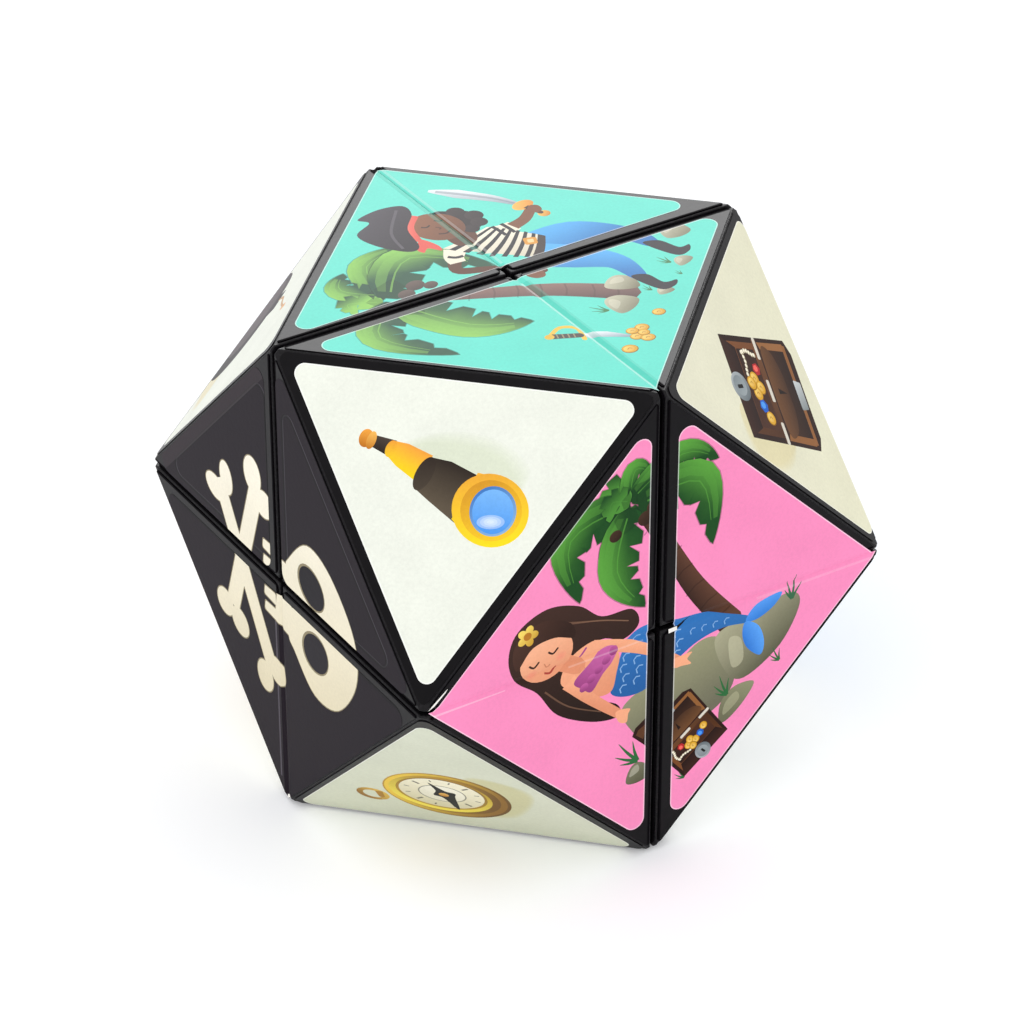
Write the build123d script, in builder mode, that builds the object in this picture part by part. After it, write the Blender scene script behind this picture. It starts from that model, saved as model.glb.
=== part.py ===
from build123d import *
import os
from math import sqrt

# Folding magnetic puzzle: eight hollow corner-cut cubes, the cells, in a closed ring joined by
# eight film hinges. Closed at rest, the cut corners point outwards and the ring makes a
# cuboctahedron. It stands on its lower square side, with its middle at (0, 0, CELL).
#
# A cell is drawn in the octant where x, y and z are positive, with the puzzle's middle at
# (0, 0, 0). It has three square sides that face its neighbours, three half-square sides that
# are quarters of the puzzle's own square sides, and one slanted triangular side. Every cell
# is this one, mirrored into its own octant.

CELL = 30.0  # from the puzzle's middle to each of its square sides
CLEARANCE = 0.15  # from a side to the plane or hinge line that it shares with a neighbour
FILM = 0.15  # thickness of the printed film on every side
WALL = 1.6  # thickness of the moulded shells
EDGE_RADIUS = 0.2  # rounding of the shells' outer edges

LIP_THICKNESS = 0.8  # locating lip behind the seam between a cell's two shells
LIP_REACH = 1.2  # how far the lip stands past the seam

MAGNET_RADIUS = 4.0
MAGNET_THICKNESS = 1.8
MAGNET_EDGE = 0.2
MAGNET_SLIP = 0.1  # radial room for a magnet in its collar
COLLAR_WALL = 1.1
COLLAR_HEIGHT = 2.2

EDGE_MARGIN = 0.45  # bare edge between a film and the cell's square sides
SLANT_MARGIN = 0.25  # bare edge between a half-square film and the slanted side
CORNER_MARGIN = 0.3  # bare edge round the slanted side's film
LABEL_RADIUS = 0.8  # rounded corners of the films
TIP_RADIUS = 0.2  # rounded sharp tips of the half-square films

CREASE_DEPTH = 0.2  # how far a hinge's film dips between two cells
CREASE_THICKNESS = 0.08  # the film is thinner where it bends
CREASE_START = 1.5  # from the middle of the puzzle's square side to a hinge's film
CREASE_END = 1.1  # from a hinge's film to the outer corner of the square side
CREASE_SPLIT = 0.05  # from the open pivot's middle line to each half of its film

NEAR = CLEARANCE  # a cell's square sides
SQUARE_MIDDLE = (NEAR + CELL) / 2
QUARTER_MIDDLE = CELL * (1 - 1 / sqrt(2))  # centre of a half-square side's inscribed circle
SLANT_APOTHEM = CELL / sqrt(6)  # from the slanted side's middle to its edges

# A cell looks the same when its three directions change places in turn.
TURNS = (Plane.XY, Plane.YZ, Plane.ZX)

# Each cell's octant, with the puzzle's front towards -Y.
CELLS = {
    "top_front_left": (-1, -1, 1),
    "top_front_right": (1, -1, 1),
    "bottom_front_right": (1, -1, -1),
    "bottom_front_left": (-1, -1, -1),
    "bottom_back_left": (-1, 1, -1),
    "bottom_back_right": (1, 1, -1),
    "top_back_right": (1, 1, 1),
    "top_back_left": (-1, 1, 1),
}

# Each hinge's direction out of the puzzle, and the way that its line runs from the middle of
# the square side to a corner. The ring's eighth hinge, on the top side's back half, is the
# pivot left open, so its film is two halves.
HINGES = {
    "top_front": ((0, 0, 1), (0, -1, 0)),
    "front_left": ((0, -1, 0), (-1, 0, 0)),
    "front_right": ((0, -1, 0), (1, 0, 0)),
    "left_bottom": ((-1, 0, 0), (0, 0, -1)),
    "right_bottom": ((1, 0, 0), (0, 0, -1)),
    "back_right": ((0, 1, 0), (1, 0, 0)),
    "back_left": ((0, 1, 0), (-1, 0, 0)),
}
OPEN_HINGE = ((0, 0, 1), (0, 1, 0))
OPEN_HALVES = {"right": -1, "left": 1}


def slant_plane(inset):
    """The slanted side's plane, moved into the cell by inset."""
    step = (2 * CELL - sqrt(3) * inset) / 3
    return Plane(origin=(step, step, step), x_dir=(1, -1, 0), z_dir=(1, 1, 1))


def cell_block(inset, radius):
    """The cell as a solid, with every side moved in by inset and its edges rounded."""
    start = NEAR + inset
    size = CELL - NEAR - 2 * inset
    with BuildPart() as block:
        with Locations((start, start, start)):
            Box(size, size, size, align=(Align.MIN, Align.MIN, Align.MIN))
        split(bisect_by=slant_plane(inset), keep=Keep.BOTTOM)
        if radius > 0:
            fillet(block.edges(), radius)
    return block.part


def seam_wedge(turn, reach):
    """What lies nearer to two outer sides' seams than to those sides, for one direction."""
    half = SQUARE_MIDDLE + reach
    with BuildPart() as wedge:
        Box(CELL, CELL, CELL, align=(Align.MIN, Align.MIN, Align.MIN))
        for other in (turn.y_dir, turn.z_dir):
            normal = turn.x_dir + other
            split(bisect_by=Plane(origin=normal * half, z_dir=normal), keep=Keep.BOTTOM)
    return wedge.part


def square_half(reach):
    """The half of a cell with its square sides, up to a seam mitred through the edges.

    The seam is moved towards the outer sides by reach, measured along each side.
    """
    wedges = [seam_wedge(turn, reach) for turn in TURNS]
    with BuildPart() as half:
        add(wedges)
    return half.part


def collar_profile():
    """A magnet's collar, seen along the magnet's axis."""
    with BuildSketch() as profile:
        Circle(MAGNET_RADIUS + MAGNET_SLIP + COLLAR_WALL)
        Circle(MAGNET_RADIUS + MAGNET_SLIP, mode=Mode.SUBTRACT)
    return profile.sketch


def make_inner_shell(block, cavity, half):
    """The moulding with the three square walls, each with a magnet collar at its middle."""
    collar = collar_profile()
    with BuildPart() as shell:
        add(block)
        add(cavity, mode=Mode.SUBTRACT)
        add(half, mode=Mode.INTERSECT)
        for turn in TURNS:
            with BuildSketch(turn.offset(NEAR + FILM + WALL)):
                with Locations((SQUARE_MIDDLE, SQUARE_MIDDLE)):
                    add(collar)
            extrude(amount=COLLAR_HEIGHT)
    return shell.part


def make_lip(cavity):
    """The lip that stands behind the seam and locates the two shells."""
    hollow = cell_block(FILM + WALL + LIP_THICKNESS, 0)
    outer_limit = square_half(LIP_REACH / 2)
    inner_limit = square_half(-LIP_REACH)
    with BuildPart() as lip:
        add(cavity)
        add(hollow, mode=Mode.SUBTRACT)
        add(outer_limit, mode=Mode.INTERSECT)
        add(inner_limit, mode=Mode.SUBTRACT)
    return lip.part


def make_outer_shell(block, cavity, half):
    """The moulding with the half-square walls, the slanted wall, the lip and its collars."""
    collar = collar_profile()
    lip = make_lip(cavity)
    with BuildPart() as shell:
        add(block)
        add(cavity, mode=Mode.SUBTRACT)
        add(half, mode=Mode.SUBTRACT)
        add(lip)
        for turn in TURNS:
            with BuildSketch(turn.offset(CELL - FILM - WALL)):
                with Locations((QUARTER_MIDDLE, QUARTER_MIDDLE)):
                    add(collar)
            extrude(amount=-COLLAR_HEIGHT)
    return shell.part


def make_magnets():
    """The six disc magnets of a cell, one against each of its square and half-square walls."""
    with BuildPart() as magnets:
        for turn in TURNS:
            with BuildSketch(turn.offset(NEAR + FILM + WALL)):
                with Locations((SQUARE_MIDDLE, SQUARE_MIDDLE)):
                    Circle(MAGNET_RADIUS)
            extrude(amount=MAGNET_THICKNESS)
            with BuildSketch(turn.offset(CELL - FILM - WALL)):
                with Locations((QUARTER_MIDDLE, QUARTER_MIDDLE)):
                    Circle(MAGNET_RADIUS)
            extrude(amount=-MAGNET_THICKNESS)
        chamfer(magnets.edges().filter_by(GeomType.CIRCLE), MAGNET_EDGE)
    return magnets.part


def make_square_labels():
    """The films on the three square sides."""
    width = CELL - NEAR - 2 * EDGE_MARGIN
    with BuildPart() as labels:
        for turn in TURNS:
            with BuildSketch(turn.offset(NEAR)):
                with Locations((SQUARE_MIDDLE, SQUARE_MIDDLE)):
                    RectangleRounded(width, width, LABEL_RADIUS)
            extrude(amount=FILM)
    return labels.part


def quarter_profile():
    """The outline of a half-square side's film."""
    start = NEAR + EDGE_MARGIN
    tip = CELL - SLANT_MARGIN * sqrt(2) - start
    corners = ((start, start), (tip, start), (start, tip))
    with BuildSketch() as profile:
        with BuildLine():
            FilletPolyline(*corners, radius=(LABEL_RADIUS, TIP_RADIUS, TIP_RADIUS), close=True)
        make_face()
    return profile.sketch


def make_quarter_labels():
    """The films on the three half-square sides."""
    outline = quarter_profile()
    with BuildPart() as labels:
        for turn in TURNS:
            with BuildSketch(turn.offset(CELL - FILM)):
                add(outline)
            extrude(amount=FILM)
    return labels.part


def make_corner_label():
    """The film on the slanted side."""
    with BuildPart() as label:
        with BuildSketch(slant_plane(FILM)) as outline:
            apothem = SLANT_APOTHEM - CORNER_MARGIN
            RegularPolygon(apothem, 3, major_radius=False, rotation=90)
            fillet(outline.vertices(), LABEL_RADIUS)
        extrude(amount=FILM)
    return label.part


def crease_profile(sides):
    """A hinge's film seen along its line, dipping to the middle from the given sides."""
    reach = CLEARANCE + EDGE_MARGIN
    with BuildSketch() as profile:
        for half in sides:
            with BuildLine():
                Polyline(
                    (half * CREASE_SPLIT, CELL - CREASE_DEPTH),
                    (half * reach, CELL),
                    (half * reach, CELL - CREASE_THICKNESS),
                    (half * CREASE_SPLIT, CELL - CREASE_DEPTH - CREASE_THICKNESS),
                    close=True,
                )
            make_face()
        if len(sides) > 1:
            middle = CELL - CREASE_DEPTH - CREASE_THICKNESS / 2
            with Locations((0, middle)):
                Rectangle(2 * CREASE_SPLIT, CREASE_THICKNESS)
    return profile.sketch


def make_crease(out, run, sides):
    """A hinge's film: out of the puzzle is the way out, and its line goes the way run."""
    across = Vector(out).cross(Vector(run))
    plane = Plane(origin=(0, 0, 0), x_dir=across, z_dir=run)
    profile = crease_profile(sides)
    with BuildPart() as crease:
        with BuildSketch(plane.offset(CREASE_START)):
            add(profile)
        extrude(amount=CELL - CREASE_START - CREASE_END)
    return crease.part


def write_node(name, piece, octant=(1, 1, 1)):
    """Mirror a piece into its octant, stand the puzzle on z = 0 and write the node's file."""
    with BuildPart() as node:
        add(piece)
        for sign, plane in zip(octant, (Plane.YZ, Plane.XZ, Plane.XY)):
            if sign < 0:
                mirror(about=plane, mode=Mode.REPLACE)
    raised = node.part.moved(Location((0, 0, CELL)))
    raised.label = name
    export_step(raised, f"parts/{name}.step")


os.makedirs("parts", exist_ok=True)

cell_form = cell_block(FILM, EDGE_RADIUS)
cell_cavity = cell_block(FILM + WALL, 0)
mitred_half = square_half(0)

cell_pieces = {
    "inner_shell": make_inner_shell(cell_form, cell_cavity, mitred_half),
    "outer_shell": make_outer_shell(cell_form, cell_cavity, mitred_half),
    "magnets": make_magnets(),
    "square_labels": make_square_labels(),
    "quarter_labels": make_quarter_labels(),
    "corner_label": make_corner_label(),
}

for cell, octant in CELLS.items():
    for piece_name, piece in cell_pieces.items():
        write_node(f"{cell}_{piece_name}", piece, octant)

for hinge, (out, run) in HINGES.items():
    write_node(f"{hinge}_hinge_film", make_crease(out, run, (-1, 1)))

for half_name, half_side in OPEN_HALVES.items():
    write_node(f"top_back_hinge_film_{half_name}", make_crease(*OPEN_HINGE, (half_side,)))
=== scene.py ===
"""Folding magnetic puzzle: printed films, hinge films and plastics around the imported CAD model."""

from math import acos, atan2, cos, degrees, hypot, pi, radians, sin, sqrt, tan, tau

import bpy
import numpy as np
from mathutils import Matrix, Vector
from mathutils.geometry import delaunay_2d_cdt


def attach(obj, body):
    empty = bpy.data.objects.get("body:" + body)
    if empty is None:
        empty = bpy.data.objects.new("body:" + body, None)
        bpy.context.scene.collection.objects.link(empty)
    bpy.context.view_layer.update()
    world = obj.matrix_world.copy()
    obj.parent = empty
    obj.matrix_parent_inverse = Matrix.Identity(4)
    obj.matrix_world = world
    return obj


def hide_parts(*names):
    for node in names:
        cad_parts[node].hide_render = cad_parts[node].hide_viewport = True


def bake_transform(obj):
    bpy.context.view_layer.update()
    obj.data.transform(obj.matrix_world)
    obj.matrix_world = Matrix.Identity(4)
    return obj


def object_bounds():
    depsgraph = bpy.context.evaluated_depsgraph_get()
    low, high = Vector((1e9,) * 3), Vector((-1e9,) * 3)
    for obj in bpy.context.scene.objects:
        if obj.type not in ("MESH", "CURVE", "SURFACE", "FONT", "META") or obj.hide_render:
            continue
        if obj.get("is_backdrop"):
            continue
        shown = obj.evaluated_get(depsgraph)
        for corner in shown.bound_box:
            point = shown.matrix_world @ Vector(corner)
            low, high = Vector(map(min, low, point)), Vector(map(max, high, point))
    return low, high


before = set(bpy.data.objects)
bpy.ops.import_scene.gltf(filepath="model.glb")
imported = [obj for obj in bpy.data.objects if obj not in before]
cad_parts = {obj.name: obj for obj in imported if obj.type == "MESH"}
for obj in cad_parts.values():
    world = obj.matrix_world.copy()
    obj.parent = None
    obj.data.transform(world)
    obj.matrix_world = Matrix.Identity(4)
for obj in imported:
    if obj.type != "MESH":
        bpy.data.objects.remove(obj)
cad_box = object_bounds()

MM = 0.001
CELL = (cad_box[1].x - cad_box[0].x) / 2 / MM  # middle to a square side, in mm
NEAR = 0.15  # from the puzzle's middle planes to the cells' square sides
EDGE = 0.6  # from a hinge's line to the edge of the flat film, mm
CREASE = 0.2  # dip of the hinge film at rest, mm
FILM = 0.08  # thickness of the film where it bends, mm
SPLIT = 0.012  # from the open pivot's line to each half of its print, mm
INK = 0.02  # how far the printed skin stands proud of its film, mm
SUNK = 0.05  # how far the skin reaches into its film, mm
# Black margins of a printed quarter, in mm: along the side's upright middle line, along its
# level one near the middle and near the outer end, and along the slanted neighbour. The films
# are laid by hand, so they vary.
MARGINS = (1.5, 1.5, 1.5, 0.8)
UNEVEN = {
    ("top", -1, 1): (1.5, 1.7, 1.0, 1.1),
    ("top", 1, 1): (1.5, 1.8, 2.2, 1.0),
    ("top", -1, -1): (1.5, 1.5, 1.9, 0.6),
    ("top", 1, -1): (1.5, 1.3, 1.0, 1.0),
    ("front", -1, 1): (1.4, 1.5, 1.5, 1.1),
    ("front", -1, -1): (1.4, 1.5, 1.5, 0.7),
    ("front", 1, 1): (2.0, 1.5, 1.5, 0.9),
    ("front", 1, -1): (2.1, 1.5, 1.5, 0.5),
    ("left", -1, 1): (1.9, 0.7, 0.7, 0.3),
    ("left", 1, 1): (0.7, 0.7, 0.7, 0.3),
    ("left", -1, -1): (1.5, 1.8, 1.8, 0.3),
    ("left", 1, -1): (1.5, 1.7, 1.7, 0.3),
}
SQUARE_MARGIN = 1.1  # black margin round a cell's square sides, mm
ROUND = 1.3  # rounded corners of the printed areas, mm
SLANT_ROUND = 1.1  # and of those on the slanted sides, mm
RIM = 0.26  # width of the light rim along a print's edge, mm; half of it is cut off
MERGED = 1e-5  # outline points nearer than this become one, mm
SLIVER = 1e-9  # triangles of a smaller doubled area are left out, mm2
DARK = (0.004, 0.003, 0.004)  # the film's own black, linear


# ---------------------------------------------------------------- colours

def rgb(text):
    """Linear colour of a hex sRGB value."""
    channels = [int(text[i : i + 2], 16) / 255 for i in (0, 2, 4)]
    return tuple(c / 12.92 if c <= 0.04045 else ((c + 0.055) / 1.055) ** 2.4 for c in channels)


def mix(a, b, t):
    t = max(0.0, min(1.0, t))
    return tuple(x + (y - x) * t for x, y in zip(a, b))


def flat(colour):
    c = rgb(colour)
    return lambda p, under: c


def fade(first, second, start, end):
    """A colour that changes evenly from start to end."""
    a, b = rgb(first), rgb(second)
    d = (end[0] - start[0], end[1] - start[1])
    length = d[0] ** 2 + d[1] ** 2

    def paint(p, under):
        return mix(a, b, ((p[0] - start[0]) * d[0] + (p[1] - start[1]) * d[1]) / length)

    return paint


def lit(light, dark, x, y, r):
    """The fade of a round thing that is lit from its upper left."""
    return fade(light, dark, (x - r, y + r), (x + r, y - r))


def down(light, dark, reach):
    """A fade from a side's upper part to its lower part."""
    return fade(light, dark, (0, reach), (0, -reach))


def wash(colour, strength):
    """A see-through layer over what lies under it."""
    c = rgb(colour)
    return lambda p, under: mix(under, c, strength)


# ---------------------------------------------------------------- outlines, in mm

def ellipse(cx, cy, rx, ry=None, turn=0.0, count=28):
    ry = rx if ry is None else ry
    c, s = cos(radians(turn)), sin(radians(turn))
    ring = []
    for i in range(count):
        a = tau * i / count
        x, y = rx * cos(a), ry * sin(a)
        ring.append((cx + x * c - y * s, cy + x * s + y * c))
    return ring


def catmull(a, b, c, d, t):
    return tuple(
        0.5 * (2 * q + (r - p) * t + (2 * p - 5 * q + 4 * r - s) * t * t
               + (3 * q - p - 3 * r + s) * t ** 3)
        for p, q, r, s in zip(a, b, c, d)
    )


def blob(*points, steps=6):
    """A closed smooth outline through a few points."""
    n = len(points)
    return [
        catmull(points[i - 1], points[i], points[(i + 1) % n], points[(i + 2) % n], k / steps)
        for i in range(n)
        for k in range(steps)
    ]


def curve(*points, steps=6):
    """An open smooth line through a few points."""
    ends = (points[0],) + points + (points[-1],)
    line = [
        catmull(*ends[i : i + 4], k / steps)
        for i in range(len(points) - 1)
        for k in range(steps)
    ]
    return line + [points[-1]]


def normals(line):
    out = []
    for i in range(len(line)):
        a, b = line[max(i - 1, 0)], line[min(i + 1, len(line) - 1)]
        dx, dy = b[0] - a[0], b[1] - a[1]
        size = hypot(dx, dy) or 1.0
        out.append((-dy / size, dx / size))
    return out


def strip(line, *widths):
    """A band along a line, its width blended through the given widths."""
    if len(widths) == 1:
        widths = widths * 2
    left, right = [], []
    for i, (p, q) in enumerate(zip(line, normals(line))):
        t = i / (len(line) - 1) * (len(widths) - 1)
        k = min(int(t), len(widths) - 2)
        w = widths[k] + (widths[k + 1] - widths[k]) * (t - k)
        left.append((p[0] + q[0] * w / 2, p[1] + q[1] * w / 2))
        right.append((p[0] - q[0] * w / 2, p[1] - q[1] * w / 2))
    return left + right[::-1]


def ribbon(line, *widths):
    """A strip with its far end rounded."""
    band = strip(line, *widths)
    (ax, ay), (x, y) = line[-2:]
    way, cap = atan2(y - ay, x - ax), widths[-1] / 2
    end = [(x + cap * cos(way + s), y + cap * sin(way + s)) for s in (pi / 4, 0, -pi / 4)]
    return band[: len(line)] + end + band[len(line) :]


def moved(outline, dx=0.0, dy=0.0, turn=0.0, size=1.0):
    c, s = cos(radians(turn)) * size, sin(radians(turn)) * size
    return [(dx + x * c - y * s, dy + x * s + y * c) for x, y in outline]


def laid(art, x, y, size):
    """Art laid down at (x, y) at its size. Its paints already know their place."""
    return [(moved(outline, x, y, 0, size), paint) for outline, paint in art]


def loop(x, y, r, count):
    """A circle as a line that ends where it starts."""
    ring = ellipse(x, y, r, count=count)
    return ring + ring[:1]


def rounded(corners):
    """A closed outline of (x, y, radius) corners, each rounded by an arc."""
    out = []
    n = len(corners)
    for i, (x, y, r) in enumerate(corners):
        if r <= 0:
            out.append((x, y))
            continue
        ax, ay = corners[i - 1][0] - x, corners[i - 1][1] - y
        bx, by = corners[(i + 1) % n][0] - x, corners[(i + 1) % n][1] - y
        la, lb = hypot(ax, ay), hypot(bx, by)
        ax, ay, bx, by = ax / la, ay / la, bx / lb, by / lb
        half = acos(max(-1, min(1, ax * bx + ay * by))) / 2
        mx, my = ax + bx, ay + by
        lm = hypot(mx, my)
        cx, cy = x + mx / lm * r / sin(half), y + my / lm * r / sin(half)
        t = r / tan(half)
        start = atan2(y + ay * t - cy, x + ax * t - cx)
        end = atan2(y + by * t - cy, x + bx * t - cx)
        sweep = (end - start + pi) % tau - pi
        for k in range(9):
            a = start + sweep * k / 8
            out.append((cx + r * cos(a), cy + r * sin(a)))
    return out


def plate(radius, *points):
    """A closed outline with all its corners rounded alike."""
    return rounded([(x, y, radius) for x, y in points])


# ---------------------------------------------------------------- printing

def inside(outline, spots):
    """Which spots an outline winds round."""
    a = np.asarray(outline)
    turns = np.zeros(len(spots), int)
    low, high = a.min(0), a.max(0)
    near = np.nonzero(((spots >= low) & (spots <= high)).all(1))[0]
    if not len(near):
        return turns > 0
    x, y = spots[near, 0][:, None], spots[near, 1][:, None]
    b = np.roll(a, -1, 0)
    left = (b[:, 0] - a[:, 0]) * (y - a[:, 1]) - (x - a[:, 0]) * (b[:, 1] - a[:, 1])
    up = (a[:, 1] <= y) & (b[:, 1] > y) & (left > 0)
    down = (a[:, 1] > y) & (b[:, 1] <= y) & (left < 0)
    turns[near] = up.sum(1) - down.sum(1)
    return turns != 0


def rim(line):
    """A light line along a print's edge, washed part way to white."""
    return (strip(line, RIM), wash("ffffff", 0.4))


def cut(regions, art):
    """Triangles of the art and the regions, with the regions and shapes each lies in."""
    outlines = regions + [outline for outline, paint in art]
    points, faces = [], []
    for outline in outlines:
        faces.append(list(range(len(points), len(points) + len(outline))))
        points += [Vector(p) for p in outline]
    edges = [(f[k - 1], f[k]) for f in faces for k in range(len(f))]
    verts, _, triangles, _, _, _ = delaunay_2d_cdt(points, edges, [], 0, MERGED, False)
    verts = np.array([tuple(v) for v in verts])
    triangles = np.array([t for t in triangles if len(t) == 3])
    spots = verts[triangles].mean(1)
    a, b, c = (verts[triangles[:, k]] for k in range(3))
    area = (b[:, 0] - a[:, 0]) * (c[:, 1] - a[:, 1]) - (c[:, 0] - a[:, 0]) * (b[:, 1] - a[:, 1])
    triangles[area < 0] = triangles[area < 0][:, ::-1]
    triangles, spots = triangles[abs(area) > SLIVER], spots[abs(area) > SLIVER]
    owners = np.array([inside(outline, spots) for outline in outlines])
    return verts, triangles, owners


def skin(name, pieces, chosen, regions, art, ground, place, sunk=SUNK):
    """A closed thin skin of the printed art over the chosen regions, laid by place."""
    verts, triangles, owners = pieces
    kept = np.nonzero(owners[chosen].any(0))[0]
    used, local = np.unique(triangles[kept], return_inverse=True)
    local = local.reshape(-1, 3)
    count = len(used)
    top = [place(verts[i], INK) for i in used]
    low = [place(verts[i], -sunk) for i in used]
    shapes = owners[len(regions):, kept]
    polys, colours, sides = [], [], set()
    for k, t in enumerate(local.tolist()):
        polys.append(t)
        sides.update(zip(t, t[1:] + t[:1]))
        paints = [art[i][1] for i in np.nonzero(shapes[:, k])[0]]
        for i in t:
            p = verts[used[i]]
            colour = ground(p, None)
            for paint in paints:
                colour = paint(p, colour)
            colours.append(colour)
    for t in local.tolist():
        polys.append([i + count for i in t[::-1]])
        colours += [DARK] * 3
    for a, b in sorted(sides):
        if (b, a) not in sides:
            polys.append([b, a, a + count, b + count])
            colours += [DARK] * 4
    mesh = bpy.data.meshes.new(name)
    mesh.from_pydata(top + low, [], polys)
    layer = mesh.color_attributes.new("paint", "FLOAT_COLOR", "CORNER")
    layer.data.foreach_set("color", [v for c in colours for v in (*c, 1.0)])
    mesh.materials.append(INK_MATERIAL)
    piece = bpy.data.objects.new(name, mesh)
    bpy.context.scene.collection.objects.link(piece)
    return piece


# ---------------------------------------------------------------- drawings

def leaf(base, bend, tip, width, side, light, dark):
    """A palm leaf: smooth on one side, which is its left where side is 1, and slit on the other."""
    cuts = 6
    line = curve(base, bend, tip, steps=8)
    out = normals(line)
    n = len(line) - 1

    def spot(t, share):
        """A point t of the way along the leaf and a share of its half width out."""
        i = min(int(t * n), n - 1)
        f = t * n - i
        taper = sin(pi / 2 * min(1.0, (1 - t) / 0.65)) * min(1.0, 0.45 + 2.5 * t)
        w = side * width * 0.6 * taper * share
        return tuple(line[i][k] + (line[i + 1][k] - line[i][k]) * f + out[i][k] * w for k in (0, 1))

    outer = [spot(k / 16, 1.0) for k in range(17)]
    inner = [spot(0.0, -0.6)]
    for k in range(cuts):
        near, far = (k + 0.25) / cuts, (k + 1) / cuts
        inner += [spot(near, -1.0), spot(far - 0.22 / cuts, -1.05), spot(far - 0.12 / cuts, -0.45)]
    shine = [spot(k / 10, 0.72) for k in range(1, 9)] + [spot(k / 10, 0.3) for k in range(8, 0, -1)]
    foot = [spot(0, 1.0), spot(0.12, 0.9), spot(0.24, 0.1), spot(0.14, -0.9), spot(0, -0.6)]
    outline = outer + inner[::-1]
    return [
        (strip(outline + outline[:1], 0.24), wash("10281a", 0.45)),
        (outline, fade(light, dark, spot(0.5, 0.8), spot(0.5, -0.8))),
        (shine, wash(light, 0.35)),
        (foot, wash("14301a", 0.4)),
        (ribbon([spot(k / 10, 0.05) for k in range(1, 9)], width * 0.05, width * 0.02),
         wash(light, 0.55)),
    ]


def coin(x, y, r=0.8):
    return [
        (ellipse(x, y, r, r * 0.88), flat("8a5c14")),
        (ellipse(x, y + 0.06, r * 0.92, r * 0.8), flat("d9a32c")),
        (ellipse(x - 0.05, y + 0.1, r * 0.66, r * 0.56), lit("ffe07a", "c98d22", x, y, r)),
        (ribbon(curve((x - r * 0.3, y), (x, y + r * 0.22), (x + r * 0.25, y)), r * 0.14),
         wash("a87018", 0.7)),
    ]


def rock(x, y, w, h, turn=0.0, light="c9c6ae", dark="7b7862"):
    shape = blob((-w, -h * 0.7), (-w * 0.75, h * 0.5), (-w * 0.1, h), (w * 0.7, h * 0.55),
                 (w, -h * 0.6), (0, -h))
    spot = blob((-w * 0.7, -h * 0.2), (-w * 0.5, h * 0.5), (0, h * 0.75), (w * 0.1, h * 0.1))
    return [
        (moved(shape, x, y, turn), fade(light, dark, (x - w * 0.6, y + h), (x + w * 0.6, y - h))),
        (moved(spot, x, y, turn), wash("efecd8", 0.25)),
    ]


def tuft(x, y, size=1.0, turn=0.0, colour="3f7a4c"):
    blades = []
    for lean, tall in ((-34, 2.0), (-12, 2.8), (14, 2.3), (38, 1.6)):
        blade = curve((0, 0), (0.1, tall * 0.5), (0.35, tall), steps=4)
        blades.append((moved(strip(blade, 0.34, 0.24, 0.04), x, y, turn + lean, size),
                       flat(colour)))
    return blades


def gem(x, y, r, light, dark):
    six = ellipse(x, y, r, r * 0.9, 12, 6)
    return [(six, flat(dark)),
            (moved(ellipse(0, 0, r * 0.6, r * 0.5, 12, 6), x - r * 0.12, y + r * 0.12),
             flat(light))]


def pearls(line, r=0.3):
    out = []
    for x, y in line:
        out.append((ellipse(x, y, r, r, 0, 10), flat("b3a88c")))
        out.append((ellipse(x - r * 0.15, y + r * 0.15, r * 0.75, r * 0.75, 0, 10), flat("f3ecd6")))
    return out


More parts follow.
